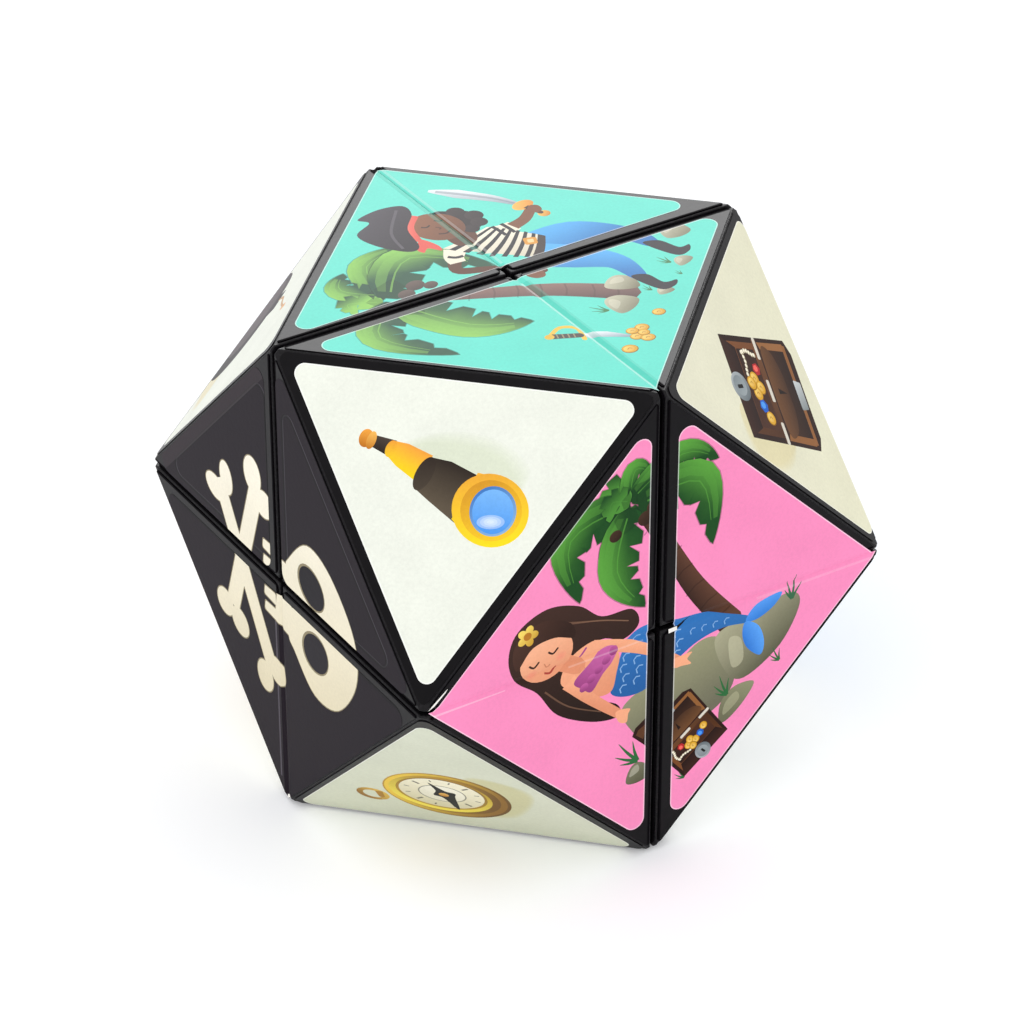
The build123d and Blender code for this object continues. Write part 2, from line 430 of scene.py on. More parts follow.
def chest(dx, dy, turn=0.0, size=1.0):
    """An open treasure chest seen from above: the box on the left, the lid on the right."""
    parts = [
        ([(-8, -6), (0, -6.3), (0.2, 6.3), (-8, 6)], flat("2a1611")),
        (plate(0.2, (-7.4, -5.4), (-0.6, -5.6), (-0.4, 5.6), (-7.4, 5.3)),
         fade("7c4b28", "4a2a16", (-7, 5), (-1, -5))),
        (plate(0.2, (-4.9, -4.6), (-0.9, -4.8), (-0.8, 4.8), (-4.9, 4.6)),
         fade("2f1a13", "4d2d1e", (-5, 4), (-1, -5))),
        ([(-7.9, -5.9), (-5.0, -4.7), (-5.0, 4.7), (-7.9, 5.8)],
         fade("3b2118", "24120e", (-8, 0), (-5, 0))),
        ([(0.1, -6.3), (7.2, -6.6), (8.2, -5.0), (8.2, 5.0), (7.2, 6.6), (0.1, 6.3)],
         flat("2d1812")),
        ([(0.5, -5.8), (6.6, -6.1), (6.6, -5.2), (0.9, -5.0)], flat("8d5c32")),
        ([(0.5, 5.8), (6.6, 6.1), (6.6, 5.2), (0.9, 5.0)], flat("96643a")),
        ([(6.4, -6.0), (7.1, -5.9), (7.1, 5.9), (6.4, 6.0)], flat("8d5c32")),
        ([(0.7, -5.0), (6.3, -5.2), (6.3, 5.2), (0.7, 5.0)],
         fade("4a2d1b", "24140f", (0, 0), (6.6, 0))),
        (blob((0.9, -4.6), (3.0, -4.9), (4.2, -2.5), (4.3, 0), (4.2, 2.5), (3.0, 4.9), (0.9, 4.6)),
         fade("6b4629", "40281a", (1, 0), (4.6, 0))),
        ([(-0.6, -6.0), (0.4, -6.0), (0.4, 6.0), (-0.6, 6.0)],
         fade("6f4628", "52321d", (0, 6), (0, -6))),
    ]
    for y in (-5.0, 0.0, 5.0):
        strap = plate(0.2, (-0.35, y - 1.3), (0.3, y - 1.3), (0.3, y + 1.3), (-0.35, y + 1.3))
        parts.append((strap, flat("d8d2c4")))
    parts += [
        (ellipse(-6.8, 0, 1.9, 1.7), fade("aab1b4", "5d676c", (-8, 1.5), (-5.4, -1.5))),
        (ellipse(-6.9, 0.1, 1.35, 1.2), fade("7d878b", "9aa3a6", (-8, 1), (-6, -1))),
        (plate(0.1, (-7.5, -0.3), (-6.3, -0.15), (-6.3, 0.3), (-7.5, 0.15)), flat("20201f")),
        (plate(0.2, (6.3, -1.8), (7.9, -1.6), (7.9, 1.6), (6.3, 1.8)),
         fade("c9cdcd", "7f8789", (6.3, 1.6), (7.9, -1.6))),
        ([(2.0, -0.2), (3.9, 0.0), (2.0, 0.5)], flat("1f130f")),
    ]
    parts += pearls([(-3.9 + 0.25 * sin(i * 0.9), 4.2 - i * 0.52) for i in range(9)])
    parts += pearls([(-3.6 + i * 0.5, 4.3 + 0.2 * sin(i)) for i in range(6)])
    for x, y in ((-2.9, 1.2), (-2.1, 0.2), (-3.2, -0.6), (-2.2, -3.4), (-3.9, 0.6)):
        parts += coin(x, y, 0.95)
    parts += gem(-1.7, 2.4, 0.85, "f2685c", "b3272c")
    parts += gem(-2.9, -2.0, 0.9, "4f9bf0", "1f5fc4")

    c, s = cos(radians(turn)) / size, sin(radians(turn)) / size

    def local(paint):
        """The paint of the unmoved chest, found from a moved point."""
        return lambda p, under: paint(
            ((p[0] - dx) * c + (p[1] - dy) * s, (p[1] - dy) * c - (p[0] - dx) * s), under
        )

    return [(moved(outline, dx, dy, turn, size), local(paint)) for outline, paint in parts]


def soft(outline_of, steps, colour, strength):
    """A soft-edged patch: nested outlines that each add a little of a colour."""
    share = 1 - (1 - strength) ** (1 / steps)
    return [(outline_of((i + 1) / steps), wash(colour, share)) for i in range(steps)][::-1]


def palm_leaves(leaves, light, dark):
    return [part for shape in leaves for part in leaf(*shape, light, dark)]


def top_scenery():
    """A palm tree with coconuts, rocks and grass."""
    art = []
    trunk = curve((-12.5, 1.0), (-5, -2.2), (2, -5.6), (8.4, -10.2))
    art.append((ribbon(trunk, 1.6, 2.4, 3.4), fade("8f6f66", "523c3c", (0.6, -3), (-1.4, -7))))
    for i in range(3, len(trunk) - 1, 2):
        x, y = trunk[i]
        ring = strip([(x + 0.55, y + 1.2), (x + 0.1, y), (x - 0.75, y - 1.2)], 0.22)
        art.append((ring, wash("3f2f2c", 0.35)))
    art += palm_leaves([
        ((-14, 3), (-12.5, 9.5), (-6.5, 11.5), 3.8, 1),
        ((-14, 3), (-17.5, 6.5), (-15.5, 9.6), 3.4, 1),
        ((-15, 2), (-18.5, 3.6), (-18.8, 1.0), 2.6, 1),
        ((-14, 1), (-19.0, -4.5), (-13.8, -12.0), 4.2, -1),
        ((-14, 0), (-13.6, -4.0), (-12.9, -7.4), 1.7, 1),
        ((-14, 1), (-9.5, -7.0), (-3.4, -10.2), 5.2, -1),
        ((-14, 2.2), (-7.5, 8.6), (-0.2, 1.8), 5.0, 1),
    ], "8cc65c", "24503a")
    for x, y, r in ((-10.2, 3.2, 1.2), (-8.7, 2.4, 0.9), (-12.0, 2.0, 1.1)):
        nut = ellipse(x, y, r, r * 0.8, 20)
        art.append((nut, fade("6b5a52", "3c3431", (x, y + r), (x, y - r))))
    for rest in (
        (9.2, -8.2, 1.9, 1.6, -30), (20.6, -1.2, 1.7, 1.9), (17.6, -7.6, 1.2, 0.9, 20),
        (6.6, -11.9, 1.9, 1.8, 25), (12.2, -12.1, 1.0, 0.8),
    ):
        art += rock(*rest)
    for rest in (
        (4.6, -12.6, 0.8, 60), (16.2, -7.4, 0.7, 40), (11, -11.4, 0.5, 30), (15.8, -10.2, 0.4, 30),
    ):
        art += tuft(*rest)
    return art


def torso(t, s):
    """A point of the shirt, t of the way down and s of the way across."""
    left = (-3.4 + 7.6 * t, 8.6 - 7.0 * t - 0.8 * sin(pi * t))
    right = (3.4 + 4.0 * t, 10.2 - 4.6 * t + 0.4 * sin(pi * t))
    return (left[0] + (right[0] - left[0]) * s, left[1] + (right[1] - left[1]) * s)


def band(start, end):
    """A slightly bowed band across the shirt."""
    lower = [torso(start + 0.02 * sin(s / 6 * pi), s / 6) for s in range(7)]
    upper = [torso(end + 0.02 * sin(s / 6 * pi), s / 6) for s in range(7)]
    return lower + upper[::-1]


def seafarer():
    """A dozing seafarer in a striped shirt, with a raised sabre."""
    skin, skin_shade = "7a4d34", "5a3624"
    denim = ("55b0ee", "2874b8")
    white, stripe, boot, lid = (flat(c) for c in ("eee6d2", "2b2a2e", "26222a", "2b1a14"))
    blade = curve((2.2, 20.9), (4.6, 18.6), (7.4, 15.6), (9.0, 13.2))
    art = [
        # near arm, propped on the trunk
        (ribbon(curve((-3.2, 6.2), (-4.6, 3.6), (-2.0, 2.2), (1.6, 0.6), (3.4, -1.4)),
                1.6, 1.3, 1.1),
         flat(skin_shade)),
        (blob((1.2, -1.4), (2.4, -0.9), (3.3, -1.6), (2.9, -2.6), (1.8, -2.5)), flat(skin)),
        # legs and boots
        (ribbon(curve((5.2, 3.8), (11, 4.2), (15.6, 0.6), (16.9, -2.6)), 5.6, 4.6, 3.2, 1.9),
         fade(*denim, (9, 6.5), (10, 0.5))),
        (blob((16.0, -2.2), (17.9, -2.6), (18.9, -5.0), (20.2, -5.1), (19.4, -6.3), (17.6, -6.3)),
         boot),
        (ribbon(curve((3.8, 2.4), (8.2, -0.8), (11.2, -4.0), (11.6, -8.0)), 5.6, 5.0, 3.2, 1.9),
         fade(*denim, (9.5, 0), (7.0, -4.5))),
        (blob((10.7, -7.8), (12.5, -8.2), (13.1, -10.6), (14.6, -10.9), (13.7, -11.9),
              (11.9, -11.7)),
         boot),
        # shirt
        (band(0, 1), fade("f3ecd9", "cfc6b0", (2, 10), (0, 2))),
        (strip(curve((-2.4, 7.6), (-3.4, 6.2), (-3.6, 5.0)), 2.6, 1.9), white),
        (strip(curve((-3.9, 6.7), (-3.2, 6.1), (-2.3, 6.0)), 0.5), stripe),
        (strip(curve((3.0, 8.8), (4.6, 8.6), (6.2, 8.9)), 2.8, 2.1), white),
    ]
    art += [(strip([(x - 0.1, 10.0), (x + 0.1, 8.7), (x + 0.2, 7.5)], 0.5), stripe)
            for x in (4.0, 5.2)]
    starts = [0.06 + k * 0.135 for k in range(7)]
    art += [(band(start, start + 0.062), stripe) for start in starts]
    art += [
        # raised arm and sabre
        (strip(blade, 0.5, 2.0, 1.5, 0.8), fade("f2f6f7", "8d99a6", (6.6, 18.6), (4.6, 16.0))),
        (strip(blade[2:], 0.5, 0.5, 0.2), wash("6b7784", 0.5)),
        (ribbon(curve((5.9, 8.8), (8.0, 9.6), (10.0, 11.4)), 1.7, 1.2), flat(skin)),
        (ellipse(10.5, 9.5, 0.75, 0.7), fade("f6c463", "c8812c", (10, 10), (11, 9))),
        (ellipse(9.5, 12.4, 1.45, 0.95, 15), fade("f8bf5c", "d98b33", (8.4, 13.2), (10.6, 11.6))),
        (ribbon([(9.6, 11.9), (10.3, 9.9)], 0.8, 0.7), flat("4b3326")),
        (blob((9.3, 11.0), (10.0, 11.9), (10.9, 11.5), (10.8, 10.4), (9.9, 10.1)), flat(skin)),
        # belt
        (band(0.97, 1.1), flat("3a2e2b")),
        (plate(0.3, (4.8, 4.4), (6.2, 4.0), (6.8, 5.4), (5.3, 5.9)), flat("dc9a3c")),
        (plate(0.15, (5.3, 4.7), (6.0, 4.5), (6.3, 5.2), (5.6, 5.4)), flat("f3d49a")),
        # head: a calm, simple face with its eyes shut
        (blob((-1.5, 8.2), (0.8, 8.2), (1.6, 10.6), (-1.6, 10.8)), flat(skin_shade)),
        (blob((-0.4, 16.4), (1.7, 15.6), (3.4, 14.6), (4.2, 12.8), (3.3, 11.0), (1.2, 10.2),
              (0.2, 12.5)),
         flat("2a2324")),
    ]
    for x, y, r in ((2.2, 15.0, 1.1), (3.6, 13.3, 1.1), (3.3, 11.7, 1.0), (1.8, 10.8, 0.9)):
        curl = ellipse(x, y, r, r, 0, 18)
        art.append((curl, lit("3c3233", "221c1e", x, y, r)))
    art += [
        (ellipse(-1.3, 13.2, 3.0, 3.3, 20), fade("8a5a3d", "6a412b", (-3, 15.5), (1, 11))),
        (ribbon(curve((-2.9, 14.0), (-2.4, 13.7), (-1.9, 13.9)), 0.22), lid),
        (ribbon(curve((-0.9, 14.6), (-0.4, 14.3), (0.1, 14.5)), 0.22), lid),
        (ribbon(curve((-1.5, 13.2), (-1.1, 12.8), (-1.3, 12.6)), 0.2), flat("553222")),
        (ribbon(curve((-2.0, 11.7), (-1.2, 11.4), (-0.5, 11.7)), 0.24), flat("3a2018")),
        # scarf and hat
        (strip(curve((-4.9, 11.4), (-4.3, 14.6), (-2.2, 16.8)), 1.2, 1.5, 1.2),
         fade("ef6f62", "c9483f", (-4.6, 14), (-3, 13))),
        (blob((-4.6, 11.6), (-5.9, 10.0), (-5.6, 8.9), (-4.7, 9.5), (-3.7, 8.3), (-3.4, 9.4),
              (-4.0, 11.2)),
         flat("df5a50")),
        (blob((-9.9, 16.2), (-9.3, 13.0), (-7.0, 10.0), (-5.3, 10.4), (-4.4, 14.4), (-2.2, 17.2),
              (-2.1, 19.4), (-4.8, 20.1), (-8.0, 19.3), (-7.3, 17.9)),
         fade("47424a", "2a262c", (-9, 18), (-5, 12))),
        (strip(curve((-7.1, 10.9), (-6.4, 14.6), (-3.2, 18.9)), 0.35), wash("6b666e", 0.55)),
    ]
    return art


def top_art():
    """A seafarer dozing against a palm tree, with a cutlass and coins."""
    art = top_scenery() + seafarer()
    art += [
        (strip(curve((-0.6, -15.4), (1.6, -16.7), (3.8, -18.6)), 1.0, 1.15, 0.3),
         fade("e9eff2", "8e9dab", (2, -16), (1.4, -17.6))),
        (ribbon(curve((-3.8, -13.9), (-1.9, -12.9), (-0.4, -14.0), (-0.9, -16.3)), 0.55),
         flat("e9c04a")),
        (ribbon([(-3.6, -14.1), (-0.9, -15.4)], 1.0, 0.9), flat("4a4340")),
    ]
    for k in range(4):
        x, y = -3.1 + 0.55 * k, -14.3 - 0.27 * k
        winding = strip([(x - 0.12, y - 0.4), (x + 0.12, y + 0.4)], 0.16)
        art.append((winding, wash("c9b98a", 0.5)))
    art += [
        (ellipse(-3.9, -14.0, 0.55, 0.5), flat("e4b63f")),
        # the film's creases on the side's closed middle line: a painted shade line beside a painted
        # highlight line along each
        (strip([(-0.3, 2.4), (-0.3, 29.5)], 0.9), wash("2aa893", 0.3)),
        (strip([(0.45, 2.4), (0.45, 29.5)], 0.3), wash("ffffff", 0.2)),
        (strip([(0.5, -2.4), (0.5, -29.5)], 0.8), wash("2aa893", 0.25)),
        (strip([(-0.1, -2.4), (-0.1, -29.5)], 0.3), wash("ffffff", 0.3)),
    ]
    for x, y, r in (
        (4.1, -18.8, 0.8), (5.6, -17.5, 0.85), (4.3, -17.6, 0.75), (5.0, -19.6, 0.85),
        (2.0, -20.6, 0.95), (9.0, -15.7, 0.8), (5.2, -18.5, 0.7),
    ):
        art += coin(x, y, r)
    return art


def front_scenery():
    """A palm tree, rocks, grass and an open chest."""
    art = []
    trunk = curve((-3.0, 17.0), (0.2, 12.0), (4.6, 4.2), (9.6, -2.4))
    art.append((ribbon(trunk, 1.4, 2.3, 3.2), fade("5e3d2e", "2b1a16", (5.6, 5.2), (3.0, 3.6))))
    for i in range(2, len(trunk) - 1, 2):
        x, y = trunk[i]
        ring = strip([(x + 1.2, y + 0.5), (x, y), (x - 1.1, y - 1.0)], 0.2)
        art.append((ring, wash("21140e", 0.4)))
    art += palm_leaves([
        ((-4, 18), (-5.6, 20.4), (-8.3, 18.0), 3.0, 1),
        ((-4, 18), (-3.4, 21.6), (-1.2, 20.6), 2.6, 1),
        ((-4, 18), (2.6, 21.6), (7.3, 19.6), 3.2, 1),
        ((-3, 17), (-6.6, 13.4), (-7.2, 10.2), 2.0, -1),
        ((-4, 17.5), (-11.4, 15.4), (-10.2, 7.2), 4.6, -1),
        ((-3, 17), (4.8, 17.4), (6.8, 8.8), 4.6, 1),
        ((-4, 17), (-5.4, 9.6), (-1.8, 3.8), 4.4, -1),
    ], "5aa03e", "1c4a20")
    art += palm_leaves([((-4, 18), (-6.4, 18.6), (-6.6, 16.2), 2.6, 1)], "4c8c37", "1a4520")
    for x, y, r in ((-2.0, 15.2, 1.0), (-1.0, 16.4, 0.9), (-5.8, 14.2, 0.8)):
        nut = ellipse(x, y, r, r * 0.9, 20)
        art.append((nut, lit("4a3326", "241712", x, y, r)))
    art += [
        (blob((-4.6, -9.6), (-3.2, -7.4), (1.4, -6.0), (5.4, -3.4), (8.4, -4.2), (10.4, -9.4),
              (8.2, -13.0), (2.0, -15.0), (-1.2, -14.6)),
         fade("9a9a78", "6c6b58", (2, -3), (5, -13))),
        (blob((7.6, -3.6), (12.4, -2.2), (17.4, -1.2), (18.9, -3.2), (16.4, -7.8), (11.6, -10.5),
              (9.0, -8.6)),
         fade("a7a588", "5a5a46", (10, -2), (15, -9))),
        (blob((9.4, -4.6), (11.0, -5.0), (11.4, -8.0), (9.9, -8.4)), wash("d7d4b4", 0.35)),
        (blob((8.4, -15.3), (8.6, -12.7), (10.4, -11.2), (13.0, -11.5), (11.8, -13.6),
              (9.6, -15.4)),
         fade("8c8d6e", "66664f", (11, -11), (9, -15.4))),
        (blob((9.0, -14.6), (9.2, -13.0), (10.6, -12.0), (11.0, -13.2)), wash("c9c8a4", 0.3)),
    ]
    art += rock(-2.4, -18.0, 1.5, 1.4, 0, "7d7c64", "55543f")
    grass = "2f6a3c"
    for rest in (
        (-2.4, -16.4, 1.45, 58, grass), (17.8, -2.2, 1.1, 10, "3a6a4a"),
        (16.4, -9.9, 0.8, 45, grass), (9.4, -12.0, 1.1, 40, grass), (3.9, -21.2, 0.7, 50, grass),
    ):
        art += tuft(*rest)
    art += [
        # the part of the chest's lid on the other side of the gap
        ([(-1.0, -10.7), (-2.8, -11.9), (-3.2, -12.9), (-1.0, -15.2)], flat("2d1812")),
        ([(-1.0, -11.6), (-2.4, -12.3), (-2.7, -12.9), (-1.0, -14.4)], flat("5c3a24")),
    ]
    return art + chest(3.9, -15.1, 127, 0.6)


def scale_arc(x, y, r):
    return [(x + r * cos(a), y + r * sin(a)) for a in (0.9, 1.9, 2.9, 3.9)]


def fish_tail():
    """A scaly tail with two fins."""
    scales = fade("3579c0", "275f9f", (4, 2), (4, -6))
    art = [(blob((-4.9, -1.4), (-3.9, 0.6), (-1.6, 1.4), (2.3, 0.7), (6.0, 0.2), (9.5, -1.2),
                 (12.2, -2.5), (11.9, -3.2), (8.6, -2.7), (5.2, -3.3), (2.2, -4.9), (-1.0, -6.9),
                 (-3.8, -7.2), (-6.1, -6.0), (-5.6, -3.6)),
            scales)]
    for row in range(5):
        for k in range(5):
            x = -4.4 + row * 1.75 + 0.35 * (k % 2)
            y = -6.0 + k * 1.35 + row * 0.5
            if y > 0.4 - 0.42 * row or y < -6.4 + 0.5 * row:
                continue
            art.append((ribbon(scale_arc(x, y, 0.55), 0.16), wash("9cc6ee", 0.65)))
    for k in range(4):
        arc = scale_arc(4.6 + k * 1.5, -1.7 - 0.1 * k, 0.42)
        art.append((ribbon(arc, 0.14), wash("9cc6ee", 0.6)))
    art += [
        (blob((11.6, -2.9), (13.0, -1.2), (16.3, -0.7), (15.4, -2.2), (13.2, -3.2)),
         fade("5aa2f2", "2f78d2", (13, -0.8), (13.6, -3.2))),
        (blob((11.6, -3.0), (13.4, -4.2), (14.2, -6.6), (13.7, -8.2), (11.9, -6.6), (11.2, -4.6)),
         fade("5aa2f2", "2a6fca", (13.6, -5), (11.4, -6))),
    ]
    return art


def sea_dweller():
    """A dozing sea dweller with long hair and a flower in it."""
    skin, warm = "f3aa84", "df906d"
    strand = wash("8a6650", 0.45)
    art = [
        (blob((-19.2, 3.4), (-18.0, 6.4), (-14.4, 8.0), (-10.4, 7.0), (-7.4, 4.6), (-3.6, 4.2),
              (-2.6, 2.0), (-4.6, 0.6), (-8.0, 1.4), (-10.2, -4.6), (-5.4, -7.6), (-5.2, -9.4),
              (-8.6, -8.8), (-13.0, -6.2), (-15.6, -2.4), (-18.4, 0.2)),
         fade("402b24", "241814", (-13, 8), (-9, -8))),
    ]
    for bend in ((-16.6, 6.2), (-15.2, 5.4)):
        art.append((ribbon(curve((-18.0, 2.6), bend, (-8.6, 4.4), (-4.0, 2.8)), 0.22, 0.14),
                    strand))
    art += [
        (ribbon(curve((-14.6, -2.6), (-11.6, -5.6), (-7.4, -7.9)), 0.22, 0.14), strand),
        # arms and body
        (ribbon(curve((-8.6, 1.0), (-5.0, -0.1), (-1.4, -1.9), (2.6, -4.8)), 1.8, 1.5, 1.1),
         fade(skin, warm, (-5, 0), (-5.6, -2))),
        (blob((2.0, -4.6), (3.2, -4.4), (4.5, -4.4), (3.9, -5.1), (4.4, -5.9), (3.2, -5.8),
              (2.2, -5.7)),
         flat(skin)),
        (blob((-12.6, -2.2), (-11.4, 0.6), (-8.2, 1.8), (-6.4, 0.2), (-5.1, -1.2), (-5.4, -3.4),
              (-6.1, -5.7), (-8.4, -5.6), (-10.6, -4.0)),
         fade(skin, warm, (-9, 1), (-6, -6))),
        (ribbon(curve((-11.6, -2.4), (-8.8, -5.6), (-4.9, -9.2)), 2.0, 1.4, 1.1),
         fade(skin, warm, (-8, -4), (-9, -6.4))),
        (blob((-5.4, -8.7), (-3.6, -8.9), (-3.8, -9.6), (-4.0, -10.6), (-5.0, -10.2)), flat(skin)),
        (blob((-10.9, -2.8), (-9.2, -1.2), (-7.0, 0.4), (-5.4, -0.2), (-6.0, -1.8), (-7.2, -3.0),
              (-8.6, -4.8), (-9.8, -4.0)),
         fade("cb66a6", "963f7c", (-7, 0.4), (-9.6, -4.4))),
    ]
    for k in range(5):
        x, y = -9.6 + k * 0.95, -3.9 + k * 0.86
        frill = ellipse(x, y, 0.62, 0.5, 40, 14)
        art.append((frill, fade("bf5c9d", "8f3c75", (x, y + 0.5), (x, y - 0.5))))
    art += [
        (ribbon(curve((-9.6, -1.4), (-10.2, 0.0), (-9.4, 1.2)), 0.25), flat("a44788")),
        # head: calm, simple, eyes shut
        (ribbon([(-12.6, 0.6), (-10.4, -0.8)], 2.2, 2.0), flat(warm)),
        (ellipse(-14.4, 1.9, 3.4, 2.9, 20), fade("f6b590", "e29672", (-15, 4.6), (-13, -1))),
        (blob((-18.2, 1.4), (-18.4, 4.6), (-15.0, 6.6), (-11.4, 5.2), (-10.9, 3.2), (-13.4, 4.0),
              (-16.2, 3.6)),
         fade("4a3128", "33211b", (-17, 6), (-13, 3))),
    ]
    for x, y in ((-16.0, 1.3), (-13.6, 2.3)):
        lid = curve((x - 0.6, y + 0.15), (x, y - 0.25), (x + 0.6, y + 0.25))
        art.append((ribbon(lid, 0.24), flat("3a2620")))
    for x, y in ((-16.2, 0.2), (-12.6, 1.4)):
        art += soft(lambda s, x=x, y=y: ellipse(x, y, 0.75 * s, 0.55 * s, 20, 14), 3, "ef7f72", 0.4)
    art += [
        (ribbon(curve((-14.7, 1.1), (-14.4, 0.6), (-14.0, 0.8)), 0.16), flat("c98262")),
        (ribbon(curve((-14.6, -0.2), (-13.9, -0.35), (-13.2, 0.2)), 0.22), flat("a8443c")),
    ]
    for k in range(5):
        a = tau * k / 5
        petal = ellipse(-16.8 + 0.75 * cos(a), 5.4 + 0.75 * sin(a), 0.62, 0.5, degrees(a), 14)
        art.append((petal, fade("f3d667", "c79a35", (-17.5, 6.2), (-16, 4.6))))
    art.append((ellipse(-16.8, 5.4, 0.5), flat("b4762a")))
    return art


def front_art():
    """A sea dweller resting on rocks by a palm, with an open chest."""
    return front_scenery() + fish_tail() + sea_dweller() + [
        # the film's creases on the level middle line: painted highlight lines along them, and a
        # small dark slit in the film
        (strip([(-29, -0.55), (-19.6, -0.5)], 0.26, 0.1), wash("ffffff", 0.22)),
        (strip([(-11.6, -0.5), (-2, -0.5)], 0.2), wash("ffffff", 0.12)),
        (strip([(13.0, -0.5), (28.5, -0.6)], 0.3), wash("ffffff", 0.09)),
        (ribbon([(2.3, -0.5), (3.2, -0.15), (4.1, 0.4)], 0.34, 0.2, 0.06), flat("14110f")),
    ]


def skull_and_bones():
    """A plain skull and crossed bones, as outlines that grow by a margin."""
    shapes = [
        lambda grow, ends=ends: strip(ends, 2.7 + 2 * grow)
        for ends in ([(-13.4, 6.6), (-2.2, -13.2)], [(-4.4, 10.4), (-11.2, -9.2)])
    ]
    shapes += [
        lambda grow, x=x, y=y, rx=rx, ry=ry, turn=turn: ellipse(x, y, rx + grow, ry + grow, turn)
        for x, y, rx, ry, turn in (
            (-14.2, 5.0, 2.2, 1.5, -10), (-11.6, 7.5, 1.4, 2.1, 10),
            (-5.4, 11.2, 1.9, 2.3, 0), (-3.0, 8.6, 2.0, 1.7, 20),
            (-13.0, -9.8, 1.9, 1.7, 0), (-9.6, -10.7, 2.0, 1.7, -20),
            (-4.1, -14.8, 1.8, 2.0, 0), (-1.3, -12.6, 1.9, 1.7, -20),
        )
    ]
    shapes.append(lambda grow: blob(
        (2.2, 4.4 + grow), (6.4, 8.4 + grow), (11.4, 7.2 + grow), (16.2 + grow, 1.8),
        (16.4 + grow, -4.2), (12.4, -9.8 - grow), (7.2, -10.8 - grow), (3.0, -7.4 - grow),
        (1.6 - grow, -5.4), (1.6 - grow, 2.4)))
    shapes.append(lambda grow: plate(
        0.4, (-1.4 - grow, -5.6 - grow), (3.6, -6.2 - grow), (3.6, 3.4 + grow),
        (0.2 - grow, 3.4 + grow)))
    shapes += [
        lambda grow, y=y: rounded([
            (-3.6 - grow, y - grow, 0.3), (-1.0, y - grow - 0.2, 0.2),
            (-1.0, y + 1.3 + grow, 0.2), (-3.4 - grow, y + 1.2 + grow, 0.3)])
        for y in (-5.4 + 2.05 * k for k in range(5))
    ]
    return shapes


def left_art():
    """A plain skull and two crossed bones, its quarters shifted by the gaps."""
    # painted shade and highlight lines along the films' raised edges
    art = painted_edge_shading((-1.9, 1.7), (-1.9, 25.6), (-25.6, 1.7))
    art += painted_edge_shading((1.8, 1.7), (24.8, 1.7), (1.8, 24.8))
    art += [
        # a painted sheen band along the upper slanted edge, a painted shade line along the lower
        # quarters' film edge, and a painted highlight line beside the lower hinge's line
        (strip([(-27.8, 1.0), (-1.4, 27.4)], 2.2), wash("a8989c", 0.05)),
        (strip([(-27.5, -1.9), (26, -1.9)], 0.42), wash("0a080b", 0.75)),
        (strip([(-1.2, -4), (-1.2, -27)], 0.3), wash("8b8490", 0.3)),
    ]
    bone = fade("f5efdd", "ddd2b2", (-4, 12), (4, -16))
    edge = flat("8f8468")
    shapes = skull_and_bones()
    art += [(outline_of(0.14), edge) for outline_of in shapes]
    art += [(outline_of(0.0), bone) for outline_of in shapes]
    socket = fade("19151c", "221d24", (6, 6), (9, -8))
    for x, y, turn in ((7.1, 3.3, -20), (7.6, -5.0, 24)):
        art.append((ellipse(x, y, 3.0, 2.6, turn), edge))
        art.append((ellipse(x + 0.1, y, 2.75, 2.35, turn), socket))
    art.append((blob((2.6, -1.8), (4.4, -0.6), (4.4, -1.6), (2.8, -0.2)), socket))
    return art


def painted_edge_shading(*corners):
    """Painted shade and a painted highlight along a film's raised edge: a dark line over a faint
    light one.
    """
    outline = plate(ROUND, *corners)
    line = outline + outline[:1]
    lit = strip([(x + 0.2, y + 0.15) for x, y in line], 0.2)
    return [(lit, wash("8b8490", 0.18)), (strip(line, 0.42), wash("0a080b", 0.75))]


def anchor(x, y, r, colour="3b4a63", light="5d7394"):
    """A ship's anchor with a ring; r is a quarter of its height."""
    iron = flat(colour)
    turns = [radians(200 + 14 * k) for k in range(11)]
    hook = [(1.75 * cos(a), -0.6 + 1.5 * sin(a)) for a in turns]
    fluke = [(1.95, -0.75), (1.5, -1.55), (1.15, -0.7), (1.75, -0.2)]
    return laid([
        (strip(loop(0, 1.85, 0.42, 20), 0.22), iron),
        (ribbon([(0, 1.5), (0, -2.0)], 0.34, 0.44),
         fade(colour, light, (x - r * 0.3, y), (x + r * 0.3, y))),
        (ribbon([(-0.9, 0.95), (0.9, 0.95)], 0.3), iron),
        (strip(hook, 0.16, 0.5, 0.16), iron),
        ([(-px, py) for px, py in fluke], iron),
        (fluke, iron),
    ], x, y, r)


def wheel(x, y, r, colour="9a6334", light="c98d4f"):
    """A ship's wheel."""
    art = []
    for k in range(8):
        c, s = cos(tau * k / 8), sin(tau * k / 8)
        spoke = ribbon([(d * c, d * s) for d in (0.3, 1.3, 2.1)], 0.14, 0.2, 0.34)
        art.append((spoke, lit(light, colour, x, y, r)))
    for radius, width, tone in ((1.45, 0.42, colour), (1.5, 0.2, light), (0.42, 0.3, colour)):
        art.append((strip(loop(0, 0, radius, 36), width), flat(tone)))
    return laid(art + [(ellipse(0, 0, 0.34), flat(light))], x, y, r)


def starfish(x, y, r, colour="ee7b4f", light="f9ab74"):
    points, spots = [], []
    for k in range(5):
        a = radians(90 + 72 * k)
        points.append((r * cos(a), r * sin(a)))
        points.append((0.42 * r * cos(a + pi / 5), 0.42 * r * sin(a + pi / 5)))
        for j in range(4):
            d = r * (0.16 + 0.17 * j)
            spot = ellipse(x + d * cos(a), y + d * sin(a), r * (0.06 - 0.008 * j), count=12)
            spots.append((spot, flat("fbd2a6")))
    body = moved(blob(*points), x, y)
    return [(body, lit(light, colour, x, y, r))] + spots


